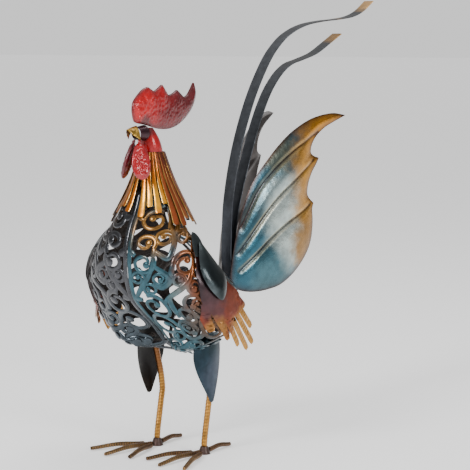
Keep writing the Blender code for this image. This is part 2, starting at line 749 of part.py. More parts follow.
def rod(name, points, radii, looks):
    """A round rod along a line, with filled ends."""
    data = bpy.data.curves.new(name, "CURVE")
    data.dimensions = "3D"
    data.bevel_depth = 1.0
    data.bevel_resolution = 1
    data.use_fill_caps = True
    data.render_resolution_u = 0
    spline = data.splines.new("POLY")
    spline.points.add(len(points) - 1)
    for place, p, r in zip(spline.points, points, radii):
        place.co = (p[0], p[1], p[2], 1)
        place.radius = r
    return add_object(name, data, looks)


def make_leg(side, looks):
    """A bent rod from the foot pad up to the lower rim of the body, which rests on its end."""
    line = [(side * LEG_X, p[0] * U, p[1] * U) for p in LEG_LINE]
    line[0] = (line[0][0], line[0][1], FOOT_H + GAP)
    level = LOW_RIM - RIM_W / U / 2
    shares = np.linspace(0.45, 0.9, 200)
    seat = min((unroll((s * round_at(level), level)) for s in shares), key=lambda p: abs(p[0] - LEG_X / U))
    line.append((side * LEG_X, seat[1] * U, seat[2] * U - LEG_STRAIGHT))
    line.append((side * LEG_X, seat[1] * U, seat[2] * U - GAP))
    return rod("leg_" + NAMES[side], line, [LEG_D / 2] * len(line), looks)


NAMES = {1: "left", -1: "right"}
TOES = (("toe_inner", -1, 0.078), ("toe_middle", 0, 0.084), ("toe_outer", 1, 0.086))
BACK_TOE = 0.050


def make_foot(side, looks, pad_looks):
    """A weld pad under the leg, three toes in front and one behind, lying on the floor."""
    centre = Vector((side * LEG_X, LEG_LINE[0][0] * U, 0))
    bm = bmesh.new()
    bmesh.ops.create_cone(bm, cap_ends=True, segments=16, radius1=FOOT_R, radius2=LEG_D / 2 + 0.0008, depth=FOOT_H)
    mesh = bpy.data.meshes.new("pad")
    bm.to_mesh(mesh)
    bm.free()
    pad = add_object("foot_pad_" + NAMES[side], mesh, pad_looks)
    pad.location = centre + Vector((0, 0, FOOT_H / 2))
    plan = [(name, FOOT_TURN[side] + hand * TOE_FAN, length) for name, hand, length in TOES]
    plan.append(("toe_back", FOOT_TURN[side] + math.radians(180 if side > 0 else 168), BACK_TOE))
    side_start = (TOE_D / 2 * (1 + math.cos(TOE_FAN)) + GAP) / math.sin(TOE_FAN) + GAP
    for name, angle, length in plan:
        start = side_start if name in ("toe_inner", "toe_outer") else FOOT_R + 2 * GAP
        out = Vector((side * math.sin(angle), -math.cos(angle), 0))
        points, radii = [], []
        for k in range(6):
            t = k / 5
            r = TOE_D / 2 * (1 - 0.22 * t ** 2)
            along = start + (length - start) * t
            lift = TOE_ARCH * math.sin(math.pi * t) ** 2
            points.append(centre + out * along + Vector((0, 0, r + lift)))
            radii.append(r)
        rod(name + "_" + NAMES[side], points, radii, looks)


def set_down():
    """Move everything so that the outer box stands on the origin."""
    bpy.context.view_layer.update()
    graph = bpy.context.evaluated_depsgraph_get()
    low, high = Vector((1e9,) * 3), Vector((-1e9,) * 3)
    for item in collection.objects:
        shape = item.evaluated_get(graph)
        mesh = shape.to_mesh()
        for vert in mesh.vertices:
            at = shape.matrix_world @ vert.co
            for i in range(3):
                low[i], high[i] = min(low[i], at[i]), max(high[i], at[i])
        shape.to_mesh_clear()
    shift = Vector((-(low.x + high.x) / 2, -(low.y + high.y) / 2, -low.z))
    for item in collection.objects:
        item.location += shift


def main():
    teal = material("teal_metal", "6F989E", 0.35, 0.8)
    orange = material("orange_gold", "E0901C", 0.30, 0.8)
    copper = material("copper_brown", "A85A34", 0.32, 0.8)
    red = material("red_enamel", "C2121E", 0.25, 0.1)
    gold = material("gold_leaf", "C8A95A", 0.35, 0.9)
    plum = material("plum_dark", "4A2430", 0.35, 0.6)
    slate = material("slate_metal", "42494B", 0.38, 0.8)
    mauve = material("mauve_copper", "A26C55", 0.38, 0.8)
    sea = material("sea_metal", "6E959C", 0.35, 0.8)
    grey = material("grey_steel", "6C6D70", 0.40, 0.9)
    tan = material("tan_rod", "B98A50", 0.45, 0.7)
    dark = material("dark_teal", "2F4E56", 0.38, 0.8)
    make_body(teal)
    cape("hackle_cape_lower", CAPE_LOWER, 0.965, 15, (0, 7, 2, 10), 0.80, orange)
    cape("hackle_cape_upper", CAPE_UPPER, 0.66, 11, (4, 0, 8), 0.86, copper)
    make_comb(red)
    make_wattles(red)
    make_hood(red)
    make_beak(gold)
    make_collar(plum)
    make_wings(slate, slate, mauve)
    make_tail(sea)
    ribbon("sickle_front", FRONT_SICKLE, grey)
    ribbon("sickle_rear", REAR_SICKLE, grey)
    make_thighs(dark)
    for side in (1, -1):
        make_leg(side, tan)
        make_foot(side, tan, tan)
    set_down()


main()
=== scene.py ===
# %% [markdown]
# A standing rooster, made by hand from thin sheet steel, strip and rod, then heat tinted and lacquered.
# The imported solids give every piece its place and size. This lesson dresses them: it makes the rounded
# scroll bands, the hammered and beaded skins and the coloured patina, and lights the whole softly.

import math

import bmesh
import bpy
import numpy as np
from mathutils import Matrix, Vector, noise
from mathutils.geometry import delaunay_2d_cdt


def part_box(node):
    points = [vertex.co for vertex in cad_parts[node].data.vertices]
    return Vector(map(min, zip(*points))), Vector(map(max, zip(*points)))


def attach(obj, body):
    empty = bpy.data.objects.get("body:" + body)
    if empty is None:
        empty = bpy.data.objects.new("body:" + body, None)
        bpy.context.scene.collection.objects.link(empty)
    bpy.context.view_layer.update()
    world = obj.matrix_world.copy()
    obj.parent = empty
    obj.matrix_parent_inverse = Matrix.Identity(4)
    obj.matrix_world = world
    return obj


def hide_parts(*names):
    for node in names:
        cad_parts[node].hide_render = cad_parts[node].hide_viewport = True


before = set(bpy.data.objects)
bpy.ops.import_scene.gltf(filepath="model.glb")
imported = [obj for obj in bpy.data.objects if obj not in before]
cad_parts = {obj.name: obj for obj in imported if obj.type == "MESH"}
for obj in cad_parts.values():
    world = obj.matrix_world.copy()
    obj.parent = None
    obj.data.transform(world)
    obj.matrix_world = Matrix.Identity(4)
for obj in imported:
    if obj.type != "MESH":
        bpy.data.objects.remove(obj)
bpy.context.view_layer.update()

# %% [markdown]
# The free forms are drawn in units of a 560th of the height, with the rooster facing -Y and its ankles
# near y = 0. The frame is shifted a little along Y, so the shift is read from a foot pad.

# %% Drawing units
U = 0.560 / 560
pad_low, pad_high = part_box("foot_pad_left")
SHIFT = (pad_low[1] + pad_high[1]) / 2 - 1 * U


def at(p):
    """A drawn point, as a place in the frame."""
    return Vector((p[0] * U, p[1] * U + SHIFT, p[2] * U))


print("shift along Y:", round(SHIFT, 5))

# %% [markdown]
# The photograph was taken from the front left, a little above the back, with a long lens. The camera
# stands 2 m from the ankles, 38 degrees round from the front, and looks 6.8 degrees down.

# %% Camera
IMAGE = 470
FOCAL = 126
round_from_front = math.radians(38)
yaw, pitch = math.radians(36.04), math.radians(6.76)
camera_data = bpy.data.cameras.new("photo_view")
camera_data.lens = FOCAL
camera_data.sensor_width = 36
camera = bpy.data.objects.new("photo_view", camera_data)
bpy.context.scene.collection.objects.link(camera)
camera.location = (2.0 * math.sin(round_from_front), -2.0 * math.cos(round_from_front) + SHIFT, 0.505)
ahead = Vector((-math.sin(yaw) * math.cos(pitch), math.cos(yaw) * math.cos(pitch), -math.sin(pitch)))
camera.rotation_euler = ahead.to_track_quat("-Z", "Y").to_euler()
bpy.context.scene.camera = camera
print("focal length in pixels:", round(IMAGE * FOCAL / 36))

# %% [markdown]
# Lacquered metal shows what is round it, so the room matters more than the lamps. The world is pale at
# the horizon and overhead, and grey between. The lamps are a key in front, one at the rooster's left
# side, and a wide one above and a little behind.

# %% Floor, world and lamps
def link(made):
    bpy.context.scene.collection.objects.link(made)
    return made


floor_bm = bmesh.new()
bmesh.ops.create_grid(floor_bm, x_segments=1, y_segments=1, size=40)
floor_mesh = bpy.data.meshes.new("floor")
floor_bm.to_mesh(floor_mesh)
floor_bm.free()
floor = link(bpy.data.objects.new("floor", floor_mesh))
floor.location.z = -0.0005

world = bpy.data.worlds.new("pale_room")
bpy.context.scene.world = world
world.use_nodes = True
room = world.node_tree
high = room.nodes.new("ShaderNodeTexCoord")
split = room.nodes.new("ShaderNodeSeparateXYZ")
band = room.nodes.new("ShaderNodeValToRGB")
stops = band.color_ramp.elements
for place, grey in ((0.05, 0.95), (0.16, 0.26), (0.55, 0.36), (0.9, 0.95)):
    stops.new(place).color = (grey, grey, grey, 1)
for stop in (stops[0], stops[-1]):
    stop.color = (0.95, 0.95, 0.95, 1)
room.links.new(high.outputs["Generated"], split.inputs[0])
room.links.new(split.outputs["Z"], band.inputs[0])
room.links.new(band.outputs[0], room.nodes["Background"].inputs["Color"])
room.nodes["Background"].inputs["Strength"].default_value = 1.0


def lamp(name, place, size, power):
    """A square area lamp that looks at the middle of the rooster."""
    data = bpy.data.lights.new(name, "AREA")
    data.size = size
    data.energy = power
    made = link(bpy.data.objects.new(name, data))
    made.location = place
    made.rotation_euler = (Vector((0, 0, 0.28)) - Vector(place)).to_track_quat("-Z", "Y").to_euler()


lamp("key", (-0.2, -2.1, 1.4), 0.6, 36)
lamp("side", (2.1, -0.5, 1.0), 0.5, 16)
lamp("top", (0.2, 0.6, 2.2), 1.0, 14)

# %% [markdown]
# Every finish is a Principled material. Colours are written as sRGB hex, the way a paint chart gives
# them, and one function turns them to the linear values that Blender works in. One more helper adds
# a node with its settings and its links.

# %% Colour and node helpers
def linear(code):
    """An sRGB hex colour as linear RGBA."""
    parts = [int(code[i:i + 2], 16) / 255 for i in (0, 2, 4)]
    return (*[c / 12.92 if c <= 0.04045 else ((c + 0.055) / 1.055) ** 2.4 for c in parts], 1.0)


def add_node(tree, kind, settings=None, values=None, links=None):
    """Add a node, set its options and input values, and link sockets into it."""
    node = tree.nodes.new("ShaderNode" + kind)
    for key, value in (settings or {}).items():
        setattr(node, key, value)
    for key, value in (values or {}).items():
        node.inputs[key].default_value = value
    for key, socket in (links or {}).items():
        tree.links.new(socket, node.inputs[key])
    return node


def new_finish(name, roughness, metallic, coat=0.0):
    """An empty finish with its shader and the drawn place of each point, ready for colour and bump."""
    finish = bpy.data.materials.new(name)
    finish.use_nodes = True
    tree = finish.node_tree
    shader = tree.nodes["Principled BSDF"]
    shader.inputs["Roughness"].default_value = roughness
    shader.inputs["Metallic"].default_value = metallic
    shader.inputs["Coat Weight"].default_value = coat
    shader.inputs["Coat Roughness"].default_value = 0.15
    where = add_node(tree, "Attribute", {"attribute_name": "drawn"})
    return finish, tree, shader, where.outputs["Vector"]


# %% [markdown]
# Heat tint and rubbed lacquer drift from one colour to another over a few centimetres, with a ragged
# border. Each drift is a ball: inside it the tint shows, and a noise of about 15 mm frays its edge.

# %% Tints, mottle and bump
def laid_over(tree, mask, under, code):
    """A hex colour mixed by a mask over what is under it, which is a hex colour too or a socket."""
    mix = add_node(tree, "Mix", {"data_type": "RGBA"}, links={0: mask.outputs[0]})
    mix.inputs[7].default_value = linear(code)
    if isinstance(under, str):
        mix.inputs[6].default_value = linear(under)
    else:
        tree.links.new(under, mix.inputs[6])
    return mix.outputs[2]


def tinted(tree, where, base, tints, fray=0.012, grain=70):
    """A base colour with balls of tint over it, each (centre, radius, hex colour, strength)."""
    fringe = add_node(tree, "TexNoise", values={"Scale": grain, "Detail": 3.0}, links={"Vector": where})
    colour = base
    for centre, radius, code, strength in tints:
        away = add_node(tree, "VectorMath", {"operation": "DISTANCE"}, links={0: where})
        away.inputs[1].default_value = at(centre)
        frayed = add_node(tree, "Math", {"operation": "MULTIPLY_ADD"},
                          {1: fray * 2}, {0: fringe.outputs["Fac"], 2: away.outputs["Value"]})
        mask = add_node(tree, "MapRange", {"interpolation_type": "SMOOTHSTEP"},
                        {"From Min": radius * 0.55 * U + fray, "From Max": radius * 1.3 * U + fray,
                         "To Min": strength, "To Max": 0.0}, {"Value": frayed.outputs[0]})
        colour = laid_over(tree, mask, colour, code)
    return colour


def layered(tree, colour, layers):
    """Colours laid over by a value that the sheet keeps for each point, such as how near its edge is."""
    for key, code, strength in layers:
        value = add_node(tree, "Attribute", {"attribute_name": key})
        mask = add_node(tree, "Math", {"operation": "MULTIPLY", "use_clamp": True}, {1: strength},
                        {0: value.outputs["Fac"]})
        colour = laid_over(tree, mask, colour, code)
    return colour


def mottled(tree, where, colour, scale, low, high):
    """Small changes of depth in a lacquer: the colour times a noise between two levels."""
    spots = add_node(tree, "TexNoise", values={"Scale": scale, "Detail": 4.0}, links={"Vector": where})
    level = add_node(tree, "MapRange",
                     values={"From Min": 0.3, "From Max": 0.7, "To Min": low, "To Max": high},
                     links={"Value": spots.outputs["Fac"]})
    mix = add_node(tree, "VectorMath", {"operation": "SCALE"}, links={"Scale": level.outputs[0]})
    if isinstance(colour, str):
        mix.inputs[0].default_value = linear(colour)[:3]
    else:
        tree.links.new(colour, mix.inputs[0])
    return mix.outputs[0]


def hammered(tree, where, shader, spacing, depth):
    """Dents of a small hammer, a given spacing in millimetres, as bump."""
    dents = add_node(tree, "TexVoronoi", values={"Scale": 1000 / spacing}, links={"Vector": where})
    bump = add_node(tree, "Bump", values={"Strength": 0.5, "Distance": depth / 1000},
                    links={"Height": dents.outputs["Distance"]})
    tree.links.new(bump.outputs["Normal"], shader.inputs["Normal"])


# %% [markdown]
# The body is steel cut into scrolls. On the left half the lacquer goes from teal at the breast to
# copper towards the wing and gold under the cape, and a grey-teal belly. The right half is a darker grey,
# brown near the top: painted shade for the far side, in place of the left half's colours.

# %% Body finishes
def plain_finish(name, base, roughness, metallic, tints=(), spacing=4.0, depth=0.2, coat=0.2,
                 spots=(120, 0.75, 1.12),
                 layers=()):
    """A lacquered sheet: a base colour, its tints, a mottle and fine dents."""
    finish, tree, shader, where = new_finish(name, roughness, metallic, coat)
    colour = tinted(tree, where, base, tints) if tints else base
    colour = layered(tree, colour, layers)
    tree.links.new(mottled(tree, where, colour, *spots), shader.inputs["Base Color"])
    hammered(tree, where, shader, spacing, depth)
    return finish


patina_left = plain_finish("heat_tinted_steel_left", "2F5560", 0.28, 0.8, (
    ((62, -40, 285), 40, "80541C", 0.95), ((30, -90, 285), 30, "8C6020", 0.95),
    ((86, -50, 228), 44, "74380F", 0.95),
    ((84, -30, 190), 44, "5E3A14", 0.9), ((60, 40, 190), 74, "4A3020", 0.85),
    ((30, -10, 130), 36, "344852", 0.85),
    ((64, -66, 250), 22, "8C4C18", 0.75), ((60, -75, 215), 16, "6C8686", 0.5)),
    spacing=5, depth=0.25, coat=0.3, spots=(140, 0.6, 1.15))
# The right half's darker grey, brown near the top, is painted shade: a dim copy of the left half's lacquer.
patina_right_shaded = plain_finish("steel_right_painted_shade", "46474B", 0.26, 0.9, (
    ((40, -40, 285), 44, "5A4432", 0.8), ((30, -50, 150), 50, "36444C", 0.7)),
    spacing=5, depth=0.25, coat=0.3, spots=(140, 0.65, 1.15))
print("finishes:", patina_left.name, patina_right_shaded.name)

# %% [markdown]
# The hackle strips are warm: copper brown above, orange gold below, each a little darker at its top.
# The red parts are gloss enamel over a beaded skin. The rest runs from slate to sea green and gold.

# %% Other finishes
copper = plain_finish("copper_lacquer", "9A4A22", 0.30, 0.8, (
    ((0, -50, 365), 24, "6A3222", 0.9), ((50, -30, 292), 24, "B87A44", 0.8),
    ((30, -40, 330), 14, "B0683A", 0.5)), spacing=3.5)
orange = plain_finish("orange_gold_lacquer", "D0700E", 0.28, 0.8, (
    ((30, -80, 318), 26, "F5B02A", 0.9), ((32, -72, 300), 12, "D86A10", 0.7),
    ((45, 60, 305), 50, "9A5A24", 0.8),
    ((0, -60, 365), 22, "8A4418", 0.8), ((-45, -60, 305), 34, "9A5226", 0.85)), spacing=3.5)
# The two darkest red balls, at the foot of the comb and at its front over the beak collar, are painted shade
# under the comb.
enamel = plain_finish("red_enamel", "A80008", 0.3, 0.2, (
    ((0, 25, 432), 52, "560A12", 0.95), ((0, -78, 425), 26, "C8000A", 0.8),
    ((0, -20, 402), 34, "6C060E", 0.9),
    ((0, -68, 405), 14, "4A0408", 0.9)), spacing=2.6, depth=0.5, coat=0.35, layers=(("rim", "50060C", 0.8),))
wattle_red = plain_finish("wattle_enamel", "A8000C", 0.24, 0.2, spacing=2.4, depth=0.5, coat=0.7,
                          layers=(("rim", "8A0A1C", 0.6),))
# The far wattle's dark maroon is painted shade: a darker copy of the red enamel.
wattle_far_shaded = plain_finish("wattle_enamel_painted_shade", "5C0C18", 0.28, 0.1, spacing=2.4, depth=0.5, coat=0.6)
gold = plain_finish("gold_leaf_lacquer", "B8913E", 0.28, 0.9, (((0, -96, 400), 8, "8A6A2C", 0.7),),
                    spacing=3.0, depth=0.6)
plum = plain_finish("plum_lacquer", "34141E", 0.32, 0.6)
slate = plain_finish("slate_lacquer", "1C2527", 0.28, 0.8,
    (((90, -66, 212), 16, "5C686C", 0.5), ((88, -58, 262), 22, "2A3336", 0.6)),
                     layers=(("rim", "50585A", 0.5),))
fan_finish = plain_finish("mauve_copper_lacquer", "7A3420", 0.32, 0.8, (
    ((95, -72, 225), 38, "2C2428", 0.97), ((95, -58, 192), 20, "4A3034", 0.8),
    ((95, -6, 148), 32, "B8843A", 0.98),
    ((95, -50, 166), 15, "9A6A34", 0.9), ((95, 4, 172), 22, "B8843A", 0.95),
    ((95, -14, 205), 12, "843C20", 0.7)))
# On the near tail plate the two pale grey-white balls are painted highlights on the crowns of the lobes, and
# the ridge layer is a pale painted highlight beside each crease.
sea = plain_finish("sea_green_lacquer", "2C5C6C", 0.27, 0.85, (
    ((42, 182, 285), 50, "C4D0CA", 0.85), ((46, 188, 238), 32, "C4D0CA", 0.75),
    ((34, 160, 370), 34, "5C5E4C", 0.75),
    ((52, 232, 345), 48, "C88C24", 0.95), ((50, 230, 290), 44, "C88C24", 0.95),
    ((48, 216, 238), 34, "96681A", 0.92),
    ((60, 262, 395), 62, "C8861E", 0.95), ((36, 150, 202), 34, "4A6C72", 0.6),
    ((20, 110, 290), 36, "24444E", 0.8),
    ((66, 288, 408), 12, "6A3C0C", 0.85)),
    # The crease layer darkens each crease: painted shade.
    layers=(("ridge", "E8CC88", 0.4), ("crease", "241006", 1.2), ("rim", "3C1C08", 0.95)),
    spots=(90, 0.72, 1.12))
# The far tail plate is a dull grey-brown copy, darker in its creases: painted shade for the far side in place
# of the near plate's colours.
far_plate_shaded = plain_finish("tail_far_painted_shade", "4E4846", 0.34, 0.75, layers=(("crease", "241C18", 0.8),))
steel = plain_finish("grey_steel_lacquer", "4C4F54", 0.30, 0.85, (
    ((0, 432, 556), 24, "D8A868", 0.95), ((0, 352, 511), 24, "C89858", 0.95),
    ((0, 100, 240), 60, "3A3F48", 0.6)))
# On the near thigh the near-black teal ball at its top is painted shade under the wing.
dark_leaf = plain_finish("dark_teal_lacquer", "2E4654", 0.30, 0.75, (
    ((46, 0, 150), 26, "0E3038", 0.95), ((46, 14, 95), 30, "5C6678", 0.7)), layers=(("rim", "202C34", 0.6),))
# The far thigh's near-black is painted shade: a darker copy of the near thigh's lacquer.
far_thigh_shaded = plain_finish("thigh_far_painted_shade", "24211F", 0.34, 0.7)
# On both rod finishes the crease layer darkens the grooves between the ribs: painted shade.
rod_gold = plain_finish("gold_rod_lacquer", "C08A3A", 0.30, 0.8, (((37, 8, 120), 26, "7A4A2C", 0.9),),
    spacing=2.4, depth=0.5,
                        layers=(("crease", "7A4C1C", 0.6),))
rod_brown = plain_finish("brown_rod_lacquer", "8A6440", 0.32, 0.8, (((50, -70, 5), 40, "B8905A", 0.7),),
    spacing=2.4, depth=0.5,
                         layers=(("crease", "20140C", 0.9),))
weld_metal = plain_finish("dark_weld", "4C3A34", 0.45, 0.7, spacing=1.6, depth=0.4)
# The back faces of the body's bands are dark: painted shade for the inside of the body.
shade_inside_bands = plain_finish("painted_shade_dark_inside", "38322F", 0.38, 0.8, coat=0.0)
# The backs of the hackle strips are dark brown: painted shade under the strips.
shade_under_strips = plain_finish("painted_shade_brown_inside", "3E2414", 0.42, 0.7, coat=0.0)
# Pale gold on the hackle strips' edges: painted highlight along each edge, darker near the top of the neck.
edge_highlight_gold = plain_finish("painted_highlight_gold_edge", "E0B060", 0.28, 0.9, (((0, -50, 372), 24, "A8683A", 0.8),))
floor_finish, tree, shader, where = new_finish("pale_floor", 0.9, 0.0)
shader.inputs["Base Color"].default_value = (0.92, 0.92, 0.92, 1)
shader.inputs["Emission Color"].default_value = (1, 1, 1, 1)
shader.inputs["Emission Strength"].default_value = 0.45
floor.data.materials.append(floor_finish)
print("finishes in all:", len(bpy.data.materials))

# %% [markdown]
# Every piece below starts as a drawing: smooth lines through a few points, and tables of stations that
# are read smoothly at any height. A soft curve through given points passes through each of them.

# %% Smooth lines and tables
def curve_through(points, steps):
    """Points of a smooth line through the given points, with some steps in each span."""
    given = [np.array(p, float) for p in points]
    given = [2 * given[0] - given[1]] + given + [2 * given[-1] - given[-2]]
    line = []
    for a, b, c, d in zip(given, given[1:], given[2:], given[3:]):
        for k in range(steps):
            t = k / steps
            line.append(0.5 * (2 * b + (c - a) * t + (2 * a - 5 * b + 4 * c - d) * t * t
                               + (3 * b - a - 3 * c + d) * t ** 3))
    line.append(given[-2])
    return line


def smooth_table(rows):
    """A function that reads a table of stations smoothly at any value of its first column."""
    rows = np.array(rows, float)
    keys, slope = rows[:, 0], np.gradient(rows, rows[:, 0], axis=0)

    def read(key):
        i = int(np.clip(np.searchsorted(keys, key) - 1, 0, len(keys) - 2))
        h = keys[i + 1] - keys[i]
        t = min(max((key - keys[i]) / h, 0.0), 1.0)
        return ((2 * t ** 3 - 3 * t ** 2 + 1) * rows[i] + (t ** 3 - 2 * t ** 2 + t) * h * slope[i]
                + (3 * t ** 2 - 2 * t ** 3) * rows[i + 1] + (t ** 3 - t ** 2) * h * slope[i + 1])
    return read


def run_along(line):
    """How far along a line each of its points is."""
    return np.concatenate(([0.0], np.cumsum([np.linalg.norm(b - a) for a, b in zip(line, line[1:])])))


def points_at(line, run, marks):
    """Points of a line at given distances along it."""
    axes = list(zip(*line))
    return [np.array([np.interp(mark, run, axis) for axis in axes]) for mark in marks]


def unit(v):
    return v / max(np.linalg.norm(v), 1e-9)


def along_at(path, k):
    """Direction of a path at one of its points."""
    return unit(path[min(k + 1, len(path) - 1)] - path[max(k - 1, 0)])


print("smooth line:", len(curve_through(((0, 0), (1, 1), (2, 0)), 8)), "points")

# %% [markdown]
# The body is two pierced halves. Each row of the table is a level: its height, the place of the front
# seam, of the widest part and of the back seam, its half width, and how far the breast swells forward
# beside the seam. A point of the half is found from its share of the way round, 0 at the front seam.

# %% The body's form
body_row = smooth_table((
    (118, 22, 0, 34, 34, 24), (130, -5, -8, 40, 36, 30), (137, -18, -15, 45, 53, 32),
    (147, -31, -18, 50, 74, 24),
    (158, -43, -20, 56, 89, 15), (181, -71, -28, 82, 95, 5), (195, -86, -32, 98.5, 94, 1),
    (217, -97, -45, 72, 90, 0),
    (235, -100, -53, 45, 82, 0), (259, -100, -55, 12, 70, 0), (272, -97, -54, -7, 61, 0),
    (288, -91, -53, -19, 48, 0),
    (305, -82, -52, -26, 37, 0), (323, -75, -51, -31, 28, 0)))
SEAM = 0.9 * 1.4 + 0.15


def body_point(share, height):
    """Outer face of the left half of the body."""
    _, front, waist, back, half, swell = body_row(height)
    angle = (share - 0.5) * math.pi
    power = 2.2 if angle < 0 else 1.3
    c, s = abs(math.cos(angle)), math.sin(angle)
    reach = (c ** power + abs(s) ** power) ** (-1 / power)
    depth = (waist - front) if s < 0 else (back - waist)
    forward = swell * math.sin(math.pi * share / 0.5) if share < 0.5 else 0.0
    return np.array((SEAM + half * reach * c, waist + depth * reach * s - forward, height))


HEIGHTS = np.linspace(118, 323, 60)
side_line = [body_point(0.5, z) for z in HEIGHTS]
CLIMB = run_along(side_line)
CLIMB += 51 - np.interp(158, HEIGHTS, CLIMB)
ROUND = [run_along([body_point(s, z) for s in np.linspace(0, 1, 41)])[-1] for z in HEIGHTS]


def round_at(level):
    return float(np.interp(level, CLIMB, ROUND))


def on_body(flat):
    """Place on the body of a flat pattern point: units round from the seam, units up the side."""
    height = float(np.interp(flat[1], CLIMB, HEIGHTS))
    return body_point(min(max(flat[0] / round_at(flat[1]), 0.0012), 0.9975), height)


print("flat pattern:", round(CLIMB[0]), "to", round(CLIMB[-1]), "units up,", round(max(ROUND)), "round")

# %% [markdown]
# The scroll bands were cut from sheet and their edges rounded over, so each is a low arch in section.
# No operator sweeps a flat section that keeps its face to a curved surface, so this helper does: at
# each step along a line it finds the surface's normal, lays the section across it, and skins the steps.

# %% Sweep a rounded band
SECTION = [(math.cos(a), math.sin(a)) for a in np.linspace(0, math.pi, 7)] + [(-0.8, -1), (0.8, -1)]


def frames_on(line, place):
    """Place, side, normal and direction at each point of a flat line on a surface."""
    found = []
    spots = [np.array(place(p)) for p in line]
    for k, p in enumerate(line):
        along = along_at(spots, k)
        step_x = place((p[0] + 0.7, p[1])) - place((p[0] - 0.7, p[1]))
        step_v = place((p[0], p[1] + 0.7)) - place((p[0], p[1] - 0.7))
        normal = unit(np.cross(step_x, step_v))
        found.append((spots[k], unit(np.cross(along, normal)), normal, along))
    return found


def skin(bm, rows, inner=(), edges=()):
    """Faces between rows of points, with end caps; inner places take the second finish, edges the third."""
    rows = [[bm.verts.new(at(p)) for p in row] for row in rows]
    size = len(rows[0])
    for a, b in zip(rows, rows[1:]):
        for k in range(size):
            n = (k + 1) % size
            face = bm.faces.new((a[k], b[k], b[n], a[n]))
            face.material_index = 1 if k in inner else 2 if k in edges else 0
    bm.faces.new(rows[0])
    bm.faces.new(list(reversed(rows[-1])))
    return rows


def sweep(bm, line, place, widths, rise, back, lifts=None, edges=()):
    """Skin a band along a flat line; widths gives the width at each point, lifts its stand-off."""
    rows = []
    lifts = lifts or [0.0] * len(line)
    for (spot, side, normal, _), width, lift in zip(frames_on(line, place), widths, lifts):
        crown = rise * min(width / 4.8, 1.4)
        rows.append([spot + side * across * width / 2 + normal
                     * (lift + (up * crown if up > 0 else up * back))
                     for across, up in SECTION])
    skin(bm, rows, inner=(7,), edges=edges)


def bead(bm, flat, place, radius, rise):
    """A flattened ball where a curl ends."""
    spot, side, normal, along = frames_on([flat, (flat[0] + 0.5, flat[1])], place)[0]
    made = bmesh.ops.create_uvsphere(bm, u_segments=12, v_segments=8, radius=1)
    for vert in made["verts"]:
        q = np.array(vert.co)
        vert.co = at(spot + side * q[0] * radius + along * q[1] * radius + normal * q[2] * rise)


def evenly(line, step):
    """The same flat line with points a step apart."""
    line = [np.array(p, float) for p in line]
    run = run_along(line)
    return points_at(line, run, np.linspace(0, run[-1], max(3, int(run[-1] / step) + 1)))


print("section points:", len(SECTION))

# %% [markdown]
# The pattern is a list of stems and curls, read from the photograph on the left half and mirrored on
# the right. Behind the wing, where it doesn't show, a plainer running field of closed curls goes on.

# %% The scroll pattern
CURLS = (
    ((20, 178), 11, -30, 400), ((20, 151), 13, 40, -430), ((72, 152), 16, 180, -480),
    ((62, 188), 10, 140, -430),
    ((24, 211), 13, 60, 440), ((26, 89), 16, 110, -440), ((84, 93), 17, -90, -440), ((23, 20), 22, 180, 400),
    ((60, 22), 15, 180, -420), ((20, 60), 16, 0, 420), ((52, 60), 16, 0, -420), ((84, 60), 16, 90, 420))
STEMS = (
    ((30, 172), (31.5, 166), (30, 159)), ((31, 168), (49, 159), (52, 182), (43, 208)),
    ((31, 156), (26, 134), (3, 96)),
    ((4, 97), (13, 98)), ((31, 149), (53, 132), (42, 118), (32, 124)), ((53, 132), (56, 152)),
    ((2, 240), (22, 231), (36, 234), (50, 244)), ((35, 233), (42, 212), (43, 200)),
    ((45, 240), (54, 212), (52, 192)),
    ((2, 216), (12, 212)), ((2, 166), (9, 160)), ((86, 146), (76, 126), (50, 104), (40, 92)),
    ((48, 76), (50, 104)),
    ((70, 186), (84, 184), (90, 190)), ((84, 166), (84, 184)))
ARCH = ((0.38, -5), (0.40, 22), (0.45, 46), (0.52, 51), (0.70, 51), (0.78, 46), (0.81, 32), (0.77, 12),
        (0.74, -5))
REAR_LOW = (((0.80, 40), (0.87, 37), (0.91, 24), (0.87, 10), (0.81, 14)),
            ((0.91, 24), (0.96, 32), (0.985, 46)),
            ((0.87, 10), (0.93, -4)))
FIELD_FIRST, FIELD_STEP, FIELD_LEFT = 75, 49, (101, 100, 92, 60)


def spiral(centre, radius, start, turn, inner=0.34, step=12):
    """A curl: a line that winds in round its centre, angles in degrees."""
    count = max(3, int(round(abs(turn) / step)))
    line = []
    for k in range(count + 1):
        t = k / count
        angle = math.radians(start + turn * t)
        r = radius * (1 - (1 - inner) * max(0, (t - 0.25) / 0.75) ** 1.2)
        line.append((centre[0] + r * math.cos(angle), centre[1] + r * math.sin(angle)))
    return line


def bottom_edge(share):
    seam_end = CLIMB[0] + 2.2
    return seam_end + (-5 - seam_end) * min(share / 0.12, 1.0)


def rim_lines():
    """The plain rims: front seam, back seam, neck, lower edge and the arch over the thigh."""
    top = CLIMB[-1] - 2.2
    levels = np.linspace(CLIMB[0] + 0.5, CLIMB[-1], 60)
    yield [(1.75, v) for v in levels]
    yield [(round_at(v) * 0.9975 - 2.2, v) for v in levels if v > -5]
    yield [(x, top) for x in np.linspace(0.5, round_at(top) * 0.9975, 30)]
    yield [(share * round_at(bottom_edge(share)), bottom_edge(share)) for share in np.linspace(0.002, 0.9975,
        90)]
    yield [(share * round_at(v), v) for share, v in curve_through(ARCH, 8)]


def field_eyes():
    """Centres and half sizes of the closed curls behind, with the hand of each."""
    for row, left in enumerate(FIELD_LEFT):
        v = FIELD_FIRST + row * FIELD_STEP
        room = round_at(v) - 4.4
        count = max(1, int(round((room - left) / FIELD_STEP)))
        wide = (room - left) / count
        for k in range(count):
            yield (left + (k + 0.5) * wide, v), wide / 2, FIELD_STEP / 2, 1 if (row + k) % 2 else -1


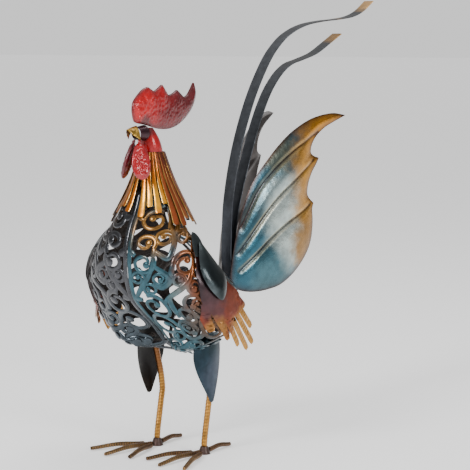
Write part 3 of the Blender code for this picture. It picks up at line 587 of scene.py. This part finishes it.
def filler_curls(count):
    """Small curls for the widest gaps: each starts on the nearest band and winds in."""
    drawn = [p for line in rim_lines() for p in evenly(line, 3)]
    drawn += [p for line in STEMS for p in evenly(curve_through(line, 12), 3)]
    drawn += [p for curl in CURLS for p in evenly(spiral(*curl), 3)]
    for centre, wide, high, _ in field_eyes():
        drawn += [np.array((centre[0] + wide * math.cos(a), centre[1] + high * math.sin(a)))
                  for a in np.linspace(0, 6.3, 50)]
    drawn = np.array(drawn)
    gaps = np.array([(x, v) for x in np.arange(5, 104, 2.5) for v in np.arange(4, 262, 2.5) if x < round_at(v)
                     - 6])
    room = np.array([np.hypot(*(drawn - p).T).min() for p in gaps])
    for k in range(count):
        best = int(room.argmax())
        centre, radius = gaps[best], min(room[best] - 0.4, 12.5)
        touch = drawn[np.hypot(*(drawn - centre).T).argmin()] - centre
        yield tuple(centre), radius, math.degrees(math.atan2(touch[1], touch[0])), 470 if k % 2 else -470
        room = np.minimum(room, np.maximum(np.hypot(*(gaps - centre).T) - radius, 0))


FILLERS = list(filler_curls(22))
print("curls:", len(CURLS), "stems:", len(STEMS), "field:", len(list(field_eyes())), "fillers:", len(FILLERS))

# %% [markdown]
# A finished piece goes into the scene here. The drawn place of each point is kept in an attribute before
# a right-hand copy is mirrored, so that a tint lies in the same place on both hands. Each piece is given
# the imported solid it stands for, and that solid is hidden.

# %% Add a finished piece
NAMES = {1: "_left", -1: "_right", 0: ""}


def add_pieces(name, bm, finishes, node, sides=(0,), sharp=50):
    """Make one object for each side from one drawn mesh, and put it in the frame."""
    for face in bm.faces:
        face.smooth = True
    inside_out = bm.calc_volume(signed=True) < 0
    mesh = bpy.data.meshes.new(name)
    bm.to_mesh(mesh)
    bm.free()
    mesh.set_sharp_from_angle(angle=math.radians(sharp))
    drawn = mesh.attributes.new("drawn", "FLOAT_VECTOR", "POINT")
    drawn.data.foreach_set("vector", [c for v in mesh.vertices for c in v.co])
    for finish in finishes:
        mesh.materials.append(finish)
    made = []
    for side in sides:
        data = mesh if side >= 0 else mesh.copy()
        if side < 0:
            for vert in data.vertices:
                vert.co.x = -vert.co.x
            data.flip_normals()
        piece = link(bpy.data.objects.new(name + NAMES[side], data))
        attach(piece, "root")
        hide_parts(node + NAMES[side])
        made.append(piece)
    print(name, "faces:", len(mesh.polygons), "INSIDE OUT" if inside_out else "")
    return made


# %% [markdown]
# Each half is one object: all its bands in one mesh, crossing where the real ones were cut as one
# sheet. Stems swell a little in the middle, and curls thin towards the bead at their end.

# %% Make the body halves
def body_half(name, side, width, field_width, finish):
    """All the bands of one half; their crowns stay level with the solid's outer face."""
    bm = bmesh.new()
    rise, back, sunk = 1.0, 0.9, -1.1

    def band(line, widths, crown=rise):
        sweep(bm, line, on_body, list(widths), crown, back, [sunk] * len(line))

    def field_band(line, step):
        line = evenly(line, step)
        band(line, [field_width] * len(line))

    for k, line in enumerate(rim_lines()):
        line = evenly(line, 2.2)
        band(line, [4.4 if k else 6.0] * len(line), 0.8)
    for line in REAR_LOW:
        field_band([(share * round_at(v), v) for share, v in curve_through(line, 10)], 2.0)
    for line in STEMS:
        line = evenly(curve_through(line, 12), 1.8)
        band(line, [width * (0.85 + 0.4 * math.sin(math.pi * k / (len(line) - 1))) for k in range(len(line))])
    for centre, radius, start, turn in CURLS + tuple(FILLERS):
        line = evenly(spiral(centre, radius, start, turn), 1.8)
        broad = width * min(1, radius / 11)
        band(line, np.linspace(broad, broad * 0.72, len(line)))
        bead(bm, line[-1], on_body, broad * 0.75, rise * 1.5)
    for centre, wide, high, hand in field_eyes():
        field_band([(centre[0] + wide * math.cos(a), centre[1] + high * math.sin(a))
                    for a in np.linspace(0, math.tau, 49)], 2.4)
        curl = []
        for t in np.linspace(0, 1, 24):
            reach, angle = 1 - 0.68 * t ** 0.8, math.radians(90 + hand * 205 * t)
            curl.append((centre[0] + wide * reach * math.cos(angle),
                         centre[1] + high * reach * math.sin(angle)))
        line = evenly(curl, 2.2)
        band(line, np.linspace(field_width, field_width * 0.8, len(line)))
        bead(bm, line[-1], on_body, field_width * 0.7, rise * 1.5)
    # The back face of every band takes the dark finish: painted shade inside the body.
    return add_pieces(name, bm, (finish, shade_inside_bands), "body_shell", sides=(side,))


left_half = body_half("body_scrolls", 1, 5.8, 8.6, patina_left)[0]
# The right half takes the darker grey copy: painted shade for the far side.
right_half = body_half("body_scrolls", -1, 8.0, 12.0, patina_right_shaded)[0]
print("faces:", len(left_half.data.polygons), len(right_half.data.polygons))

# %% [markdown]
# The other sheets start as a flat blank, as in the workshop: an outline filled with one face and cut
# into small squares by planes across it, so that it can bend. A function then bends each point to its
# curved place, and the solidify operator gives the wall, inwards.

# %% Cut a blank and bend it
WALL = 0.001


def outline_of(*runs, steps=5):
    """A closed outline from smooth runs; where two runs meet there is a sharp corner."""
    outline = []
    for run in runs:
        outline += curve_through(run, steps)[:-1]
    return outline


def blank(bm, outline, step):
    """A flat face inside an outline, cut into squares."""
    bm.faces.new([bm.verts.new((p[0], p[1], 0)) for p in outline])
    box = np.array(outline, float)
    for axis in (0, 1):
        for level in np.arange(box[:, axis].min() + step / 2, box[:, axis].max(), step):
            spot, normal = [0, 0, 0], [0, 0, 0]
            spot[axis], normal[axis] = level, 1
            bmesh.ops.bisect_plane(bm, geom=bm.verts[:] + bm.edges[:] + bm.faces[:], dist=1e-4,
                                   plane_co=spot, plane_no=normal)
    bmesh.ops.triangulate(bm, faces=[f for f in bm.faces if len(f.verts) > 4])


def off_line(line):
    """A function that gives the distance from a flat point to a drawn line."""
    line = np.array(line, float)
    start, run = line[:-1], np.diff(line, axis=0)
    size = np.maximum((run * run).sum(1), 1e-9)

    def distance(p):
        p = np.array((p[0], p[1]))
        t = np.clip(((p - start) * run).sum(1) / size, 0, 1)
        return float(np.sqrt((((p - start) - t[:, None] * run) ** 2).sum(1).min()))
    return distance


def bent_sheet(bm, place, wall, measures):
    """Bend a flat blank, keep what each measure says of each point, and give the blank its wall."""
    layers = {key: bm.verts.layers.float.new(key) for key in measures}
    for vert in bm.verts:
        for key, measure in measures.items():
            vert[layers[key]] = measure(vert.co)
        vert.co = at(place(vert.co))
    bmesh.ops.solidify(bm, geom=bm.faces[:], thickness=wall)


print("blank ready")

# %% [markdown]
# A tail plate is one sheet, raised over a form into four plump lobes. Between them run creases that end
# at the notches of the edge. The tint is sea green at the root and gold to brown at the tips. The pale
# patches on the crowns of the lobes and the pale lines beside each crease are painted highlights, and the
# dark line in each crease is painted shade, so the sheet keeps how near each point is to a crease and to
# its edge. The far plate is a dull grey-brown copy: painted shade.

# %% Tail plates
TAIL_RUNS = (
    ((-10, 194), (-11, 212), (-5, 246), (2, 272), (9, 293), (20, 316), (32, 333), (45, 347), (68, 369),
     (94, 388),
     (127, 403), (162, 409), (187, 406)),
    ((187, 406), (166, 398), (150, 391), (136, 381), (128, 370), (126, 359), (131, 354), (140, 351)),
    ((140, 351), (135, 343), (128, 333), (122, 319), (120, 306), (123, 299), (131, 292)),
    ((131, 292), (129, 284), (130, 267), (127, 244), (117, 224), (98, 204), (75, 190), (52, 185), (29, 184),
     (8, 187),
     (-10, 194)))
CREASES = (
    ((5, 268), (32, 313), (55, 336), (74, 351), (101, 368), (138, 386)),
    ((0, 236), (35, 276), (61, 301), (94, 325), (130, 349)),
    ((2, 214), (32, 237), (63, 259), (93, 276), (124, 291)))
SPLAY = math.radians(14)
TAIL_ROOT = (8 + 0.3 + 0.9 + 3.4, 104)
tail_outline = outline_of(*TAIL_RUNS)[::-1]
tail_edge = off_line(tail_outline + tail_outline[:1])
tail_creases = [off_line(curve_through(line, 6)) for line in CREASES]


def tail_rise(p):
    near = min(tail_edge(p) / 42, 1)
    away = min(crease(p) for crease in tail_creases)
    fade = near ** 0.5
    return 11 * (1 - (1 - near) ** 2) - (2.8 * math.exp(-(away / 2.6) ** 2) + 2.4
        * math.exp(-(away / 11) ** 2)) * fade


def tail_place(p):
    rise = tail_rise(p)
    return (TAIL_ROOT[0] + p[0] * math.sin(SPLAY) + rise * math.cos(SPLAY),
            TAIL_ROOT[1] + p[0] * math.cos(SPLAY) - rise * math.sin(SPLAY), p[1])


def make_tail_plates(near_finish, far_finish):
    bm = bmesh.new()
    blank(bm, tail_outline, 1.8)
    bent_sheet(bm, tail_place, 0.0009, {
        "rim": lambda p: math.exp(-tail_edge(p) / 4.0),
        # crease: how near a crease, for the painted shade in it
        "crease": lambda p: math.exp(-(min(c(p) for c in tail_creases) / 1.5) ** 2),
        # ridge: the pale line beside each crease, a painted highlight
        "ridge": lambda p: min(tail_edge(p) / 25, 1)
        * math.exp(-((min(c(p) for c in tail_creases) - 3.2) / 1.0) ** 2)})
    left, right = add_pieces("tail_plate_sheet", bm, (near_finish,), "tail_plate", (1, -1),
        sharp=60)
    # The far plate takes the grey-brown copy: painted shade.
    right.data.materials[0] = far_finish


make_tail_plates(sea, far_plate_shaded)

# %% [markdown]
# The wings are three overlapping sheets that follow the side of the body: a shoulder tongue, a domed
# covert leaf and a fan. The fan's fingers are cut apart at their ends and have a low ridge each.

# %% Wings
SHOULDER = ((-69, 256), (-66, 266), (-59, 277), (-53, 281), (-48, 278), (-47, 270), (-50, 262), (-56, 254),
            (-69, 256))
COVERT = ((-70, 242), (-67, 252), (-61, 262), (-52, 270), (-46, 257), (-38, 242), (-33, 235), (-32, 228),
          (-35, 220),
          (-41, 210), (-48, 204), (-57, 210), (-65, 220), (-69, 231), (-70, 242))
PALM = ((-67, 255), (-73, 236), (-73, 222), (-69, 204), (-59, 192), (-46, 176), (-37, 170), (-29, 174),
        (-23, 182),
        (-18, 190), (-14, 199), (-10, 206), (-19, 215), (-27, 222), (-40, 240), (-54, 256))
FINGERS = (((-64, 200), (-53, 166)), ((-49, 186), (-34, 155)), ((-38, 182), (-15, 145)),
           ((-30, 184), (3, 138)),
           ((-24, 190), (14, 144)), ((-20, 198), (11, 164)), ((-20, 208), (-2, 190)))


def wing_point(y, z, stand_off):
    """The side of the body from its front to its widest place, then straight on behind."""
    _, front, waist, _, half, _ = body_row(max(z, 181))
    slope = 0.0
    if y < waist:
        q = (waist - y) / (waist - front)
        rest = max(1 - q ** 2.2, 0.05)
        slope = half / (waist - front) * q ** 1.2 * rest ** (1 / 2.2 - 1)
        half *= rest ** (1 / 2.2)
    return np.array((half + stand_off * math.hypot(1, slope), y, z))


def finger_cells():
    """Outlines of the fingers in short lengths, narrower at the tip, with a rounded end."""
    for root, tip in FINGERS:
        root, tip = np.array(root, float), np.array(tip, float)
        along = unit(tip - root)
        across = np.array((-along[1], along[0]))
        marks = np.linspace(0, 1, 14)
        half = [4.2 - 0.5 * t - (1.3 if t > 0.99 else 0.0) for t in marks]
        spots = [root + (tip - root) * t for t in marks]
        for (a, wa), (b, wb) in zip(zip(spots, half), list(zip(spots, half))[1:]):
            yield [a + across * wa, a - across * wa, b - across * wb, b + across * wb]


def joined_blank(bm, cells, step):
    """A flat blank over overlapping outlines, with points on an even grid inside them."""
    points, faces = [], []
    for cell in cells:
        turn = sum(a[0] * b[1] - b[0] * a[1] for a, b in zip(cell, list(cell[1:]) + [cell[0]]))
        cell = list(cell) if turn > 0 else list(cell)[::-1]
        faces.append(list(range(len(points), len(points) + len(cell))))
        points += [Vector((float(p[0]), float(p[1]))) for p in cell]
    box = np.array([tuple(p) for p in points])
    for i, x in enumerate(np.arange(box[:, 0].min(), box[:, 0].max(), step)):
        points += [Vector((x, z)) for z in np.arange(box[:, 1].min() + (step / 2 if i % 2 else 0),
            box[:, 1].max(), step)]
    verts, _, tris, _, _, owner = delaunay_2d_cdt(points, [], faces, 0, 0.05)
    made = [bm.verts.new((v.x, v.y, 0)) for v in verts]
    for tri, own in zip(tris, owner):
        if own:
            bm.faces.new([made[k] for k in tri])
    bmesh.ops.delete(bm, geom=[v for v in bm.verts if not v.link_faces], context="VERTS")


def leaf(name, outline, place, wall, finish, node, step=2.2):
    """A plain sheet of one outline, on both sides."""
    edge = off_line(outline + outline[:1])
    bm = bmesh.new()
    blank(bm, outline, step)
    bent_sheet(bm, place, wall, {"rim": lambda p: math.exp(-edge(p) / 2.2)})
    return add_pieces(name, bm, (finish,), node, (1, -1))


def make_wings(shoulder_finish, covert_finish, fan_finish):
    shoulder = outline_of(SHOULDER)[::-1]
    leaf("wing_shoulder_sheet", shoulder, lambda p: wing_point(p[0], p[1], 7.5), WALL, shoulder_finish,
         "wing_shoulder")
    covert = outline_of(COVERT)[::-1]
    covert_edge = off_line(covert + covert[:1])
    leaf("wing_covert_leaf", covert,
         lambda p: wing_point(p[0], p[1], 9.4 + 3.5 * (1 - (1 - min(covert_edge(p) / 14, 1)) ** 2)), WALL,
         covert_finish, "wing_covert")
    ridges = [off_line((np.array(root) * 0.6 + np.array(tip) * 0.4, tip)) for root, tip in FINGERS]
    palm = outline_of(PALM + PALM[:1])
    cells = [palm] + list(finger_cells())
    bm = bmesh.new()
    joined_blank(bm, cells, 2.4)

    def fan_place(p):
        ridge = max(math.exp(-(off(p) / 2.4) ** 2) for off in ridges)
        return wing_point(p[0], p[1], 5.2 + 0.8 * ridge)
    bent_sheet(bm, fan_place, WALL, {})
    add_pieces("wing_fan_sheet", bm, (fan_finish,), "wing_fan", (1, -1))


make_wings(slate, slate, fan_finish)

# %% [markdown]
# The comb is a plump plate with a pebbled skin: bumps of about 3 mm that were pressed from inside. The
# bumps are real shape here, because the enamel's highlights break on them. Both faces start as the same
# blank, one turned over, and their borders are joined by a band of faces bridged between them.

# %% Pillow pieces
def pebbles(p, size, height):
    """Rounded bumps of a given size in drawing units."""
    return height * (1 - min(noise.voronoi(Vector(p) / size, distance_metric="DISTANCE", exponent=2.5)[0][0]
        * 1.25, 1) ** 2)


def pillow(name, outline, place, edge_half, bulge, reach, pebble, step, finish, node, sides=(0,)):
    """A closed plate that swells on both faces, with a beaded skin."""
    closed = off_line(outline + outline[:1])
    bm = bmesh.new()
    blank(bm, outline, step)
    bmesh.ops.triangulate(bm, faces=bm.faces[:])
    rim = bm.verts.layers.float.new("rim")
    copy = bmesh.ops.duplicate(bm, geom=bm.verts[:] + bm.edges[:] + bm.faces[:])
    turned = [g for g in copy["geom"] if isinstance(g, bmesh.types.BMFace)]
    bmesh.ops.reverse_faces(bm, faces=turned)
    behind = {v for f in turned for v in f.verts}
    borders = [e for e in bm.edges if e.is_boundary]
    for vert in bm.verts:
        p, hand = vert.co.copy(), -1 if vert in behind else 1
        near = min(closed(p) / reach, 1)
        half = edge_half + bulge * (1 - (1 - near) ** 2)
        half += pebbles((p.x, p.y, hand * 40), *pebble) * min(near * 3, 1)
        vert[rim] = math.exp(-closed(p) / 2.0)
        vert.co = at(place(p.x, p.y, hand * half))
    bmesh.ops.bridge_loops(bm, edges=borders)
    bmesh.ops.recalc_face_normals(bm, faces=bm.faces[:])
    return add_pieces(name, bm, (finish,), node, sides, sharp=70)


COMB_RUNS = (
    ((-59, 404), (-68, 406), (-83, 409), (-87, 417), (-88, 425), (-86, 433), (-79, 440), (-69, 447),
     (-60, 450)),
    ((-60, 450), (-54, 447), (-48, 444)), ((-48, 444), (-40, 448), (-33, 452)),
    ((-33, 452), (-28, 447), (-21, 439)),
    ((-21, 439), (-12, 441), (-4, 445)), ((-4, 445), (2, 441), (9, 436)),
    ((9, 436), (16, 438), (22, 444), (29, 453)),
    ((29, 453), (33, 442), (31, 432), (24, 421), (12, 411), (-3, 403), (-20, 399), (-40, 399.5), (-59, 404)))
comb_outline = outline_of(*COMB_RUNS, steps=4)[::-1]
pillow("comb_skin", comb_outline, lambda y, z, t: (t, y, z), 1.4, 4.9, 16, (3.6, 1.0), 1.1, enamel,
       "comb")

# %% [markdown]
# The wattles are two egg-shaped lobes, beaded like a raspberry, that hang under the face and open
# outwards to the rear.

# %% Wattles
WATTLE_TOP, WATTLE_FOOT = np.array((4.6, -80.8, 385)), np.array((14.6, -87.8, 342.5))
WATTLE_TURN = math.radians(24)


def wattle_place(u, v, t):
    spot = WATTLE_TOP + (WATTLE_FOOT - WATTLE_TOP) * (0.5 - v / 38)
    return (spot[0] + u * math.sin(WATTLE_TURN) + t * math.cos(WATTLE_TURN),
            spot[1] + u * math.cos(WATTLE_TURN) - t * math.sin(WATTLE_TURN), spot[2])


wattle_outline = [(-1.8, 18.6), (-1.5, 22.4), (1.5, 22.4), (1.8, 18.6)][::-1]
wattle_outline += [(11.8 * math.sin(a) * (1 - 0.18 * math.cos(a)), 19 * math.cos(a))
                   for a in np.linspace(2 * math.pi, 0, 49)[2:-2]]
wattles = pillow("wattle_lobe", wattle_outline, wattle_place, 0.9, 2.4, 8, (3.2, 1.2), 0.9, wattle_red,
                 "wattle", (1, -1))
# The far wattle takes the darker copy: painted shade.
wattles[1].data.materials[0] = wattle_far_shaded

# %% [markdown]
# The face is a short red cone under the comb, the beak a folded and slightly crumpled gold leaf, and
# between them is a dark collar. All three are revolved or bent from thin sheet.

# %% Face, collar and beak
def revolved(rows, centre, turn_axis):
    """Spin a profile of (along, radius) round an axis through a centre, as an open shell."""
    bm = bmesh.new()
    verts = [bm.verts.new((r, 0, a)) for a, r in rows]
    edges = [bm.edges.new(pair) for pair in zip(verts, verts[1:])]
    bmesh.ops.spin(bm, geom=verts + edges, cent=(0, 0, 0), axis=(0, 0, 1), angle=math.tau, steps=48,
                   use_merge=True)
    bmesh.ops.remove_doubles(bm, verts=bm.verts[:], dist=1e-4)
    bmesh.ops.recalc_face_normals(bm, faces=bm.faces[:])
    for vert in bm.verts:
        x, y, z = vert.co
        vert.co = at((x + centre[0], y + centre[1], z + centre[2]) if turn_axis == "z"
                     else (x + centre[0], -z + centre[1], y + centre[2]))
    return bm


def add_cone(name, bm, middle, finish, node):
    """Turn an open cone's faces outwards, give it its wall and add it."""
    if sum(f.normal.dot(f.calc_center_median() - at(middle)) for f in bm.faces) < 0:
        bmesh.ops.reverse_faces(bm, faces=bm.faces[:])
    bmesh.ops.solidify(bm, geom=bm.faces[:], thickness=WALL)
    add_pieces(name, bm, (finish,), node)


hood_bm = revolved([(z, 13.6 + (5.0 - 13.6) * t ** 2) for z, t in zip(np.linspace(373.4, 401.6, 16),
    np.linspace(0, 1, 16))],
                   (0, -55.5, 0), "z")
for vert in hood_bm.verts:
    vert.co.y -= 5 / 28.2 * (vert.co.z - 387.5 * U)
add_cone("face_cone", hood_bm, (0, -55.5, 386), enamel, "face_hood")
collar_bm = revolved([(a, 9.4 - 1.8 * t) for a, t in zip(np.linspace(-6.65, 6.65, 8), np.linspace(0, 1, 8))],
    (0, -74.05, 396), "y")
add_cone("beak_sleeve", collar_bm, (0, -74, 396), plum, "beak_collar")


def beak_place(p):
    """The ridge runs to the tip, with a flap down each side and small dents."""
    s, t = p[0] / 20, p[1] / 20
    ridge = np.array((0, -81 - 18 * s, 404 - 4 * s ** 1.6))
    part = (1 - s) * (1 + 0.5 * s)
    out = math.copysign(math.sin(min(abs(t), 1) * 1.45), t) * part
    dent = 0.35 * noise.noise(Vector((s * 6, t * 4, 3.0)))
    return ridge + np.array((9 * out + dent, -3 * abs(t) * part + dent, -15 * (abs(t) * part) ** 1.25 + dent))


beak_bm = bmesh.new()
blank(beak_bm, [(0, -20), (18.8, -20), (18.8, 20), (0, 20)], 1.3)
bmesh.ops.reverse_faces(beak_bm, faces=beak_bm.faces[:])
bent_sheet(beak_bm, beak_place, WALL, {})
add_pieces("beak_leaf", beak_bm, (gold,), "beak")

# %% [markdown]
# The hackle is two rings of hanging strips. Each strip is a band with a low crown, and no two are quite
# the same: its end and how far it stands off are varied from a seeded noise, and its width follows the
# ring.

# %% Hackle strips
def ring_place(stations):
    """Place on a cape of a flat point: hundredths of a half turn from the back, height."""
    row = smooth_table(stations)

    def place(p):
        _, front, back, half = row(p[1])
        c, s = math.sin(p[0] * math.pi / 100), math.cos(p[0] * math.pi / 100)
        reach = (abs(c) ** 2.1 + abs(s) ** 2.1) ** (-1 / 2.1)
        return np.array((-half * reach * c, (front + back) / 2 + (back - front) / 2 * reach * s, p[1]))
    return place


def hackle(name, stations, spread, count, tips, fill, stand, finish, node):
    """A ring of strips: whole at the top, apart at their ends."""
    place = ring_place(stations)
    low, high = stations[0][0], stations[-1][0]
    bm = bmesh.new()
    step = 200 * spread / count
    for k in range(count):
        turn = -100 * spread + (k + 0.5) * step
        vary = noise.noise(Vector((k * 1.7, 4.0, high / 50)))
        end = low + tips[k % len(tips)] + 3 * (vary + 0.5)
        heights = np.linspace(high, end, 26)
        line = [np.array((turn, z)) for z in heights]
        rim = [np.linalg.norm(place((turn + step / 2, z)) - place((turn - step / 2, z))) for z in heights]
        run = [(high - z) / (high - low) for z in heights]
        widths = [r * (1.04 - (1.04 - fill) * min(t / 0.3, 1.0)) for r, t in zip(rim, run)]
        widths[-1] *= 0.72
        lifts = [stand[k % 2] + (stand[2] + 1.2 * vary) * t ** 2.5 for t in run]
        # The edge faces of each strip take the pale gold: painted highlight.
        sweep(bm, line, place, widths, 0.55, 0.55, lifts, edges=(0, 5, 6, 8))
    # The back face of each strip takes the dark brown: painted shade.
    add_pieces(name, bm, (finish, shade_under_strips, edge_highlight_gold), node, sharp=60)


CAPE_LOWER = ((298, -89, -16, 47), (318, -80, -24, 34), (340, -74, -31, 23), (373, -68, -38, 13))
CAPE_UPPER = ((286, -97, -8, 57), (305, -88, -15, 46), (340, -77, -27, 27), (373, -69.4, -36.6, 14.4))
hackle("hackle_strips_lower", CAPE_LOWER, 0.965, 23, (0, 9, 3, 12, 6), 0.80, (0.0, 0.7, 0.8), orange,
       "hackle_cape_lower")
hackle("hackle_strips_upper", CAPE_UPPER, 0.66, 19, (4, 0, 8, 2), 0.90, (0.0, 0.6, 0.0), copper,
       "hackle_cape_upper")

# %% [markdown]
# The two sickle feathers are straps bent in one plane, with their long edges dressed with a file.

# %% Sickle ribbons
FRONT_SICKLE = ((101, 196), (97, 225), (97, 252), (101, 303), (118, 366), (147, 428), (182, 477), (212, 503),
                (240, 517),
                (272, 526), (310, 531), (350, 534), (385, 538), (412, 546), (438, 560))
REAR_SICKLE = ((102.6, 198), (104, 225), (107, 260), (118, 303), (149, 377), (178, 428), (205, 457),
               (232, 473), (262, 480),
               (295, 488), (328, 502), (355, 514))


def strap(name, line, node):
    """A strap along a line in the middle plane, with bevelled long edges."""
    path = curve_through(line, 8)
    rows = []
    for k, p in enumerate(path):
        along = along_at(path, k)
        up = np.array((-along[1], along[0]))
        ring = ((8, -0.9), (7.3, -0.15), (3.5, 0), (0, 0.0), (-3.5, 0), (-7.3, -0.15), (-8, -0.9),
                (-7.4, -1.4), (0, -1.4), (7.4, -1.4))
        rows.append([np.array((x, p[0] + up[0] * t, p[1] + up[1] * t)) for x, t in ring])
    bm = bmesh.new()
    skin(bm, rows)
    bmesh.ops.recalc_face_normals(bm, faces=bm.faces[:])
    return add_pieces(name, bm, (steel,), node, sharp=25)


strap("sickle_strap_front", FRONT_SICKLE, "sickle_front")
strap("sickle_strap_rear", REAR_SICKLE, "sickle_rear")

# %% [markdown]
# The thighs are bowed leaves outside the legs. The legs and toes are cut from ribbed bar, whose ribs run
# round it on a slant, so each is swept as a round bar with its radius raised at every rib.

# %% Thighs, legs and feet
LEG_OUT = 37
TOE_RADIUS = 3.3
THIGH = ((-20, 151), (-26, 143), (-29, 131), (-28, 118), (-23, 103), (-14, 86), (-3, 68))
THIGH_REAR = ((5, 68), (13, 86), (20, 103), (24, 118), (25, 131), (23, 143), (17, 151))
thigh_outline = outline_of(THIGH, ((-3, 68), (1, 66.8), (5, 68)), THIGH_REAR,
    ((17, 151), (-2, 152.5), (-20, 151)))
leaf("thigh_leaf", thigh_outline,
     lambda p: (LEG_OUT + 4 + 0.3 + 1 + 0.8 + 6.0 * (1 - ((p[0] + 2) / 28) ** 2), p[0], p[1]), WALL,
     dark_leaf, "thigh", step=2.4)
# The far thigh takes the near-black copy: painted shade for the far side.
bpy.data.objects["thigh_leaf_right"].data.materials[0] = far_thigh_shaded


def ribbed_bar(points, radii, pitch=3.2, rib=0.5, around=18):
    """A ribbed bar through points in space, with how deep in a groove each point lies."""
    bm = bmesh.new()
    points = [np.array(p, float) for p in points]
    run = run_along(points)
    marks = np.linspace(0, run[-1], max(4, int(run[-1] / 0.7)))
    path = points_at(points, run, marks)
    size = np.interp(marks, run, radii)
    # How deep in a groove each point lies; the rod finishes lay painted shade in the grooves with it.
    groove = bm.verts.layers.float.new("crease")
    rows, deep = [], []
    for k, p in enumerate(path):
        along = along_at(path, k)
        side = unit(np.cross(along, (0.0, 0.31, 0.95) if abs(along[2]) < 0.7 else (0.0, 1.0, 0.0)))
        up = np.cross(side, along)
        row = []
        deep.append([])
        for j in range(around):
            a = math.tau * j / around
            wave = math.cos(math.tau * marks[k] / pitch + 2 * abs(math.sin(a)))
            r = size[k] - rib + rib * max(wave, 0) ** 0.7 - (0.5 if k in (0, len(path) - 1) else 0)
            row.append(p + (side * math.cos(a) + up * math.sin(a)) * r)
            deep[-1].append(1 - max(wave, 0) ** 0.7)
        rows.append(row)
    for verts, values in zip(skin(bm, rows), deep):
        for vert, value in zip(verts, values):
            vert[groove] = value
    bmesh.ops.recalc_face_normals(bm, faces=bm.faces[:])
    return bm


def leg_end():
    """Where the leg meets the lower rim of the body."""
    level = -5 - 2.2
    return min((on_body((s * round_at(level), level)) for s in np.linspace(0.45, 0.9, 200)),
               key=lambda p: abs(p[0] - LEG_OUT))


def make_leg():
    line = [(LEG_OUT, y, z) for y, z in ((1, 9.3), (1, 12), (3, 25), (10, 60), (12, 72), (9, 92), (4, 110))]
    seat = leg_end()
    line += [(LEG_OUT, seat[1], seat[2] - 6), (LEG_OUT, seat[1], seat[2] - 0.3)]
    path = [line[0]] + [tuple(p) for p in curve_through(line[1:], 4)]
    bm = ribbed_bar(path, [4.0] * len(path), pitch=4.0, rib=0.35)
    add_pieces("leg_bar", bm, (rod_gold,), "leg", (1, -1))


def make_foot(side):
    """Three toes in front and one behind, each a ribbed bar that lies on the floor, and the weld."""
    fan, turn = math.radians(24), math.radians(-3 if side > 0 else 11)
    side_start = (TOE_RADIUS * (1 + math.cos(fan)) + 0.3) / math.sin(fan) + 0.3
    plan = (("toe_inner", turn - fan, side_start, 78), ("toe_middle", turn, 8.6, 84),
            ("toe_outer", turn + fan, side_start, 86),
            ("toe_back", turn + math.radians(180 if side > 0 else 168), 8.6, 50))
    for name, angle, start, length in plan:
        points, radii = [], []
        for t in np.linspace(0, 1, 14):
            r = TOE_RADIUS * (1 - 0.22 * t ** 2)
            along = start + (length - start) * t
            points.append((LEG_OUT + math.sin(angle) * along, 1 - math.cos(angle) * along,
                           r + 2.0 * math.sin(math.pi * t) ** 2))
            radii.append(r)
        add_pieces(name + "_bar", ribbed_bar(points, radii), (rod_brown,), name, (side,))
    bm = bmesh.new()
    bmesh.ops.create_cone(bm, cap_ends=True, segments=28, radius1=8.0, radius2=4.8, depth=9.0)
    bmesh.ops.subdivide_edges(bm, edges=[e for e in bm.edges if abs(e.verts[0].co.z - e.verts[1].co.z) > 1],
        cuts=5)
    for vert in bm.verts:
        p = vert.co
        swell = 1 - 0.12 * abs(noise.noise(Vector((p.x, p.y, p.z + side * 9)) / 2.6))
        vert.co = at((LEG_OUT + p.x * swell, 1 + p.y * swell, p.z + 4.5))
    add_pieces("ankle_weld", bm, (weld_metal,), "foot_pad", (side,))


make_leg()
for side in (1, -1):
    make_foot(side)
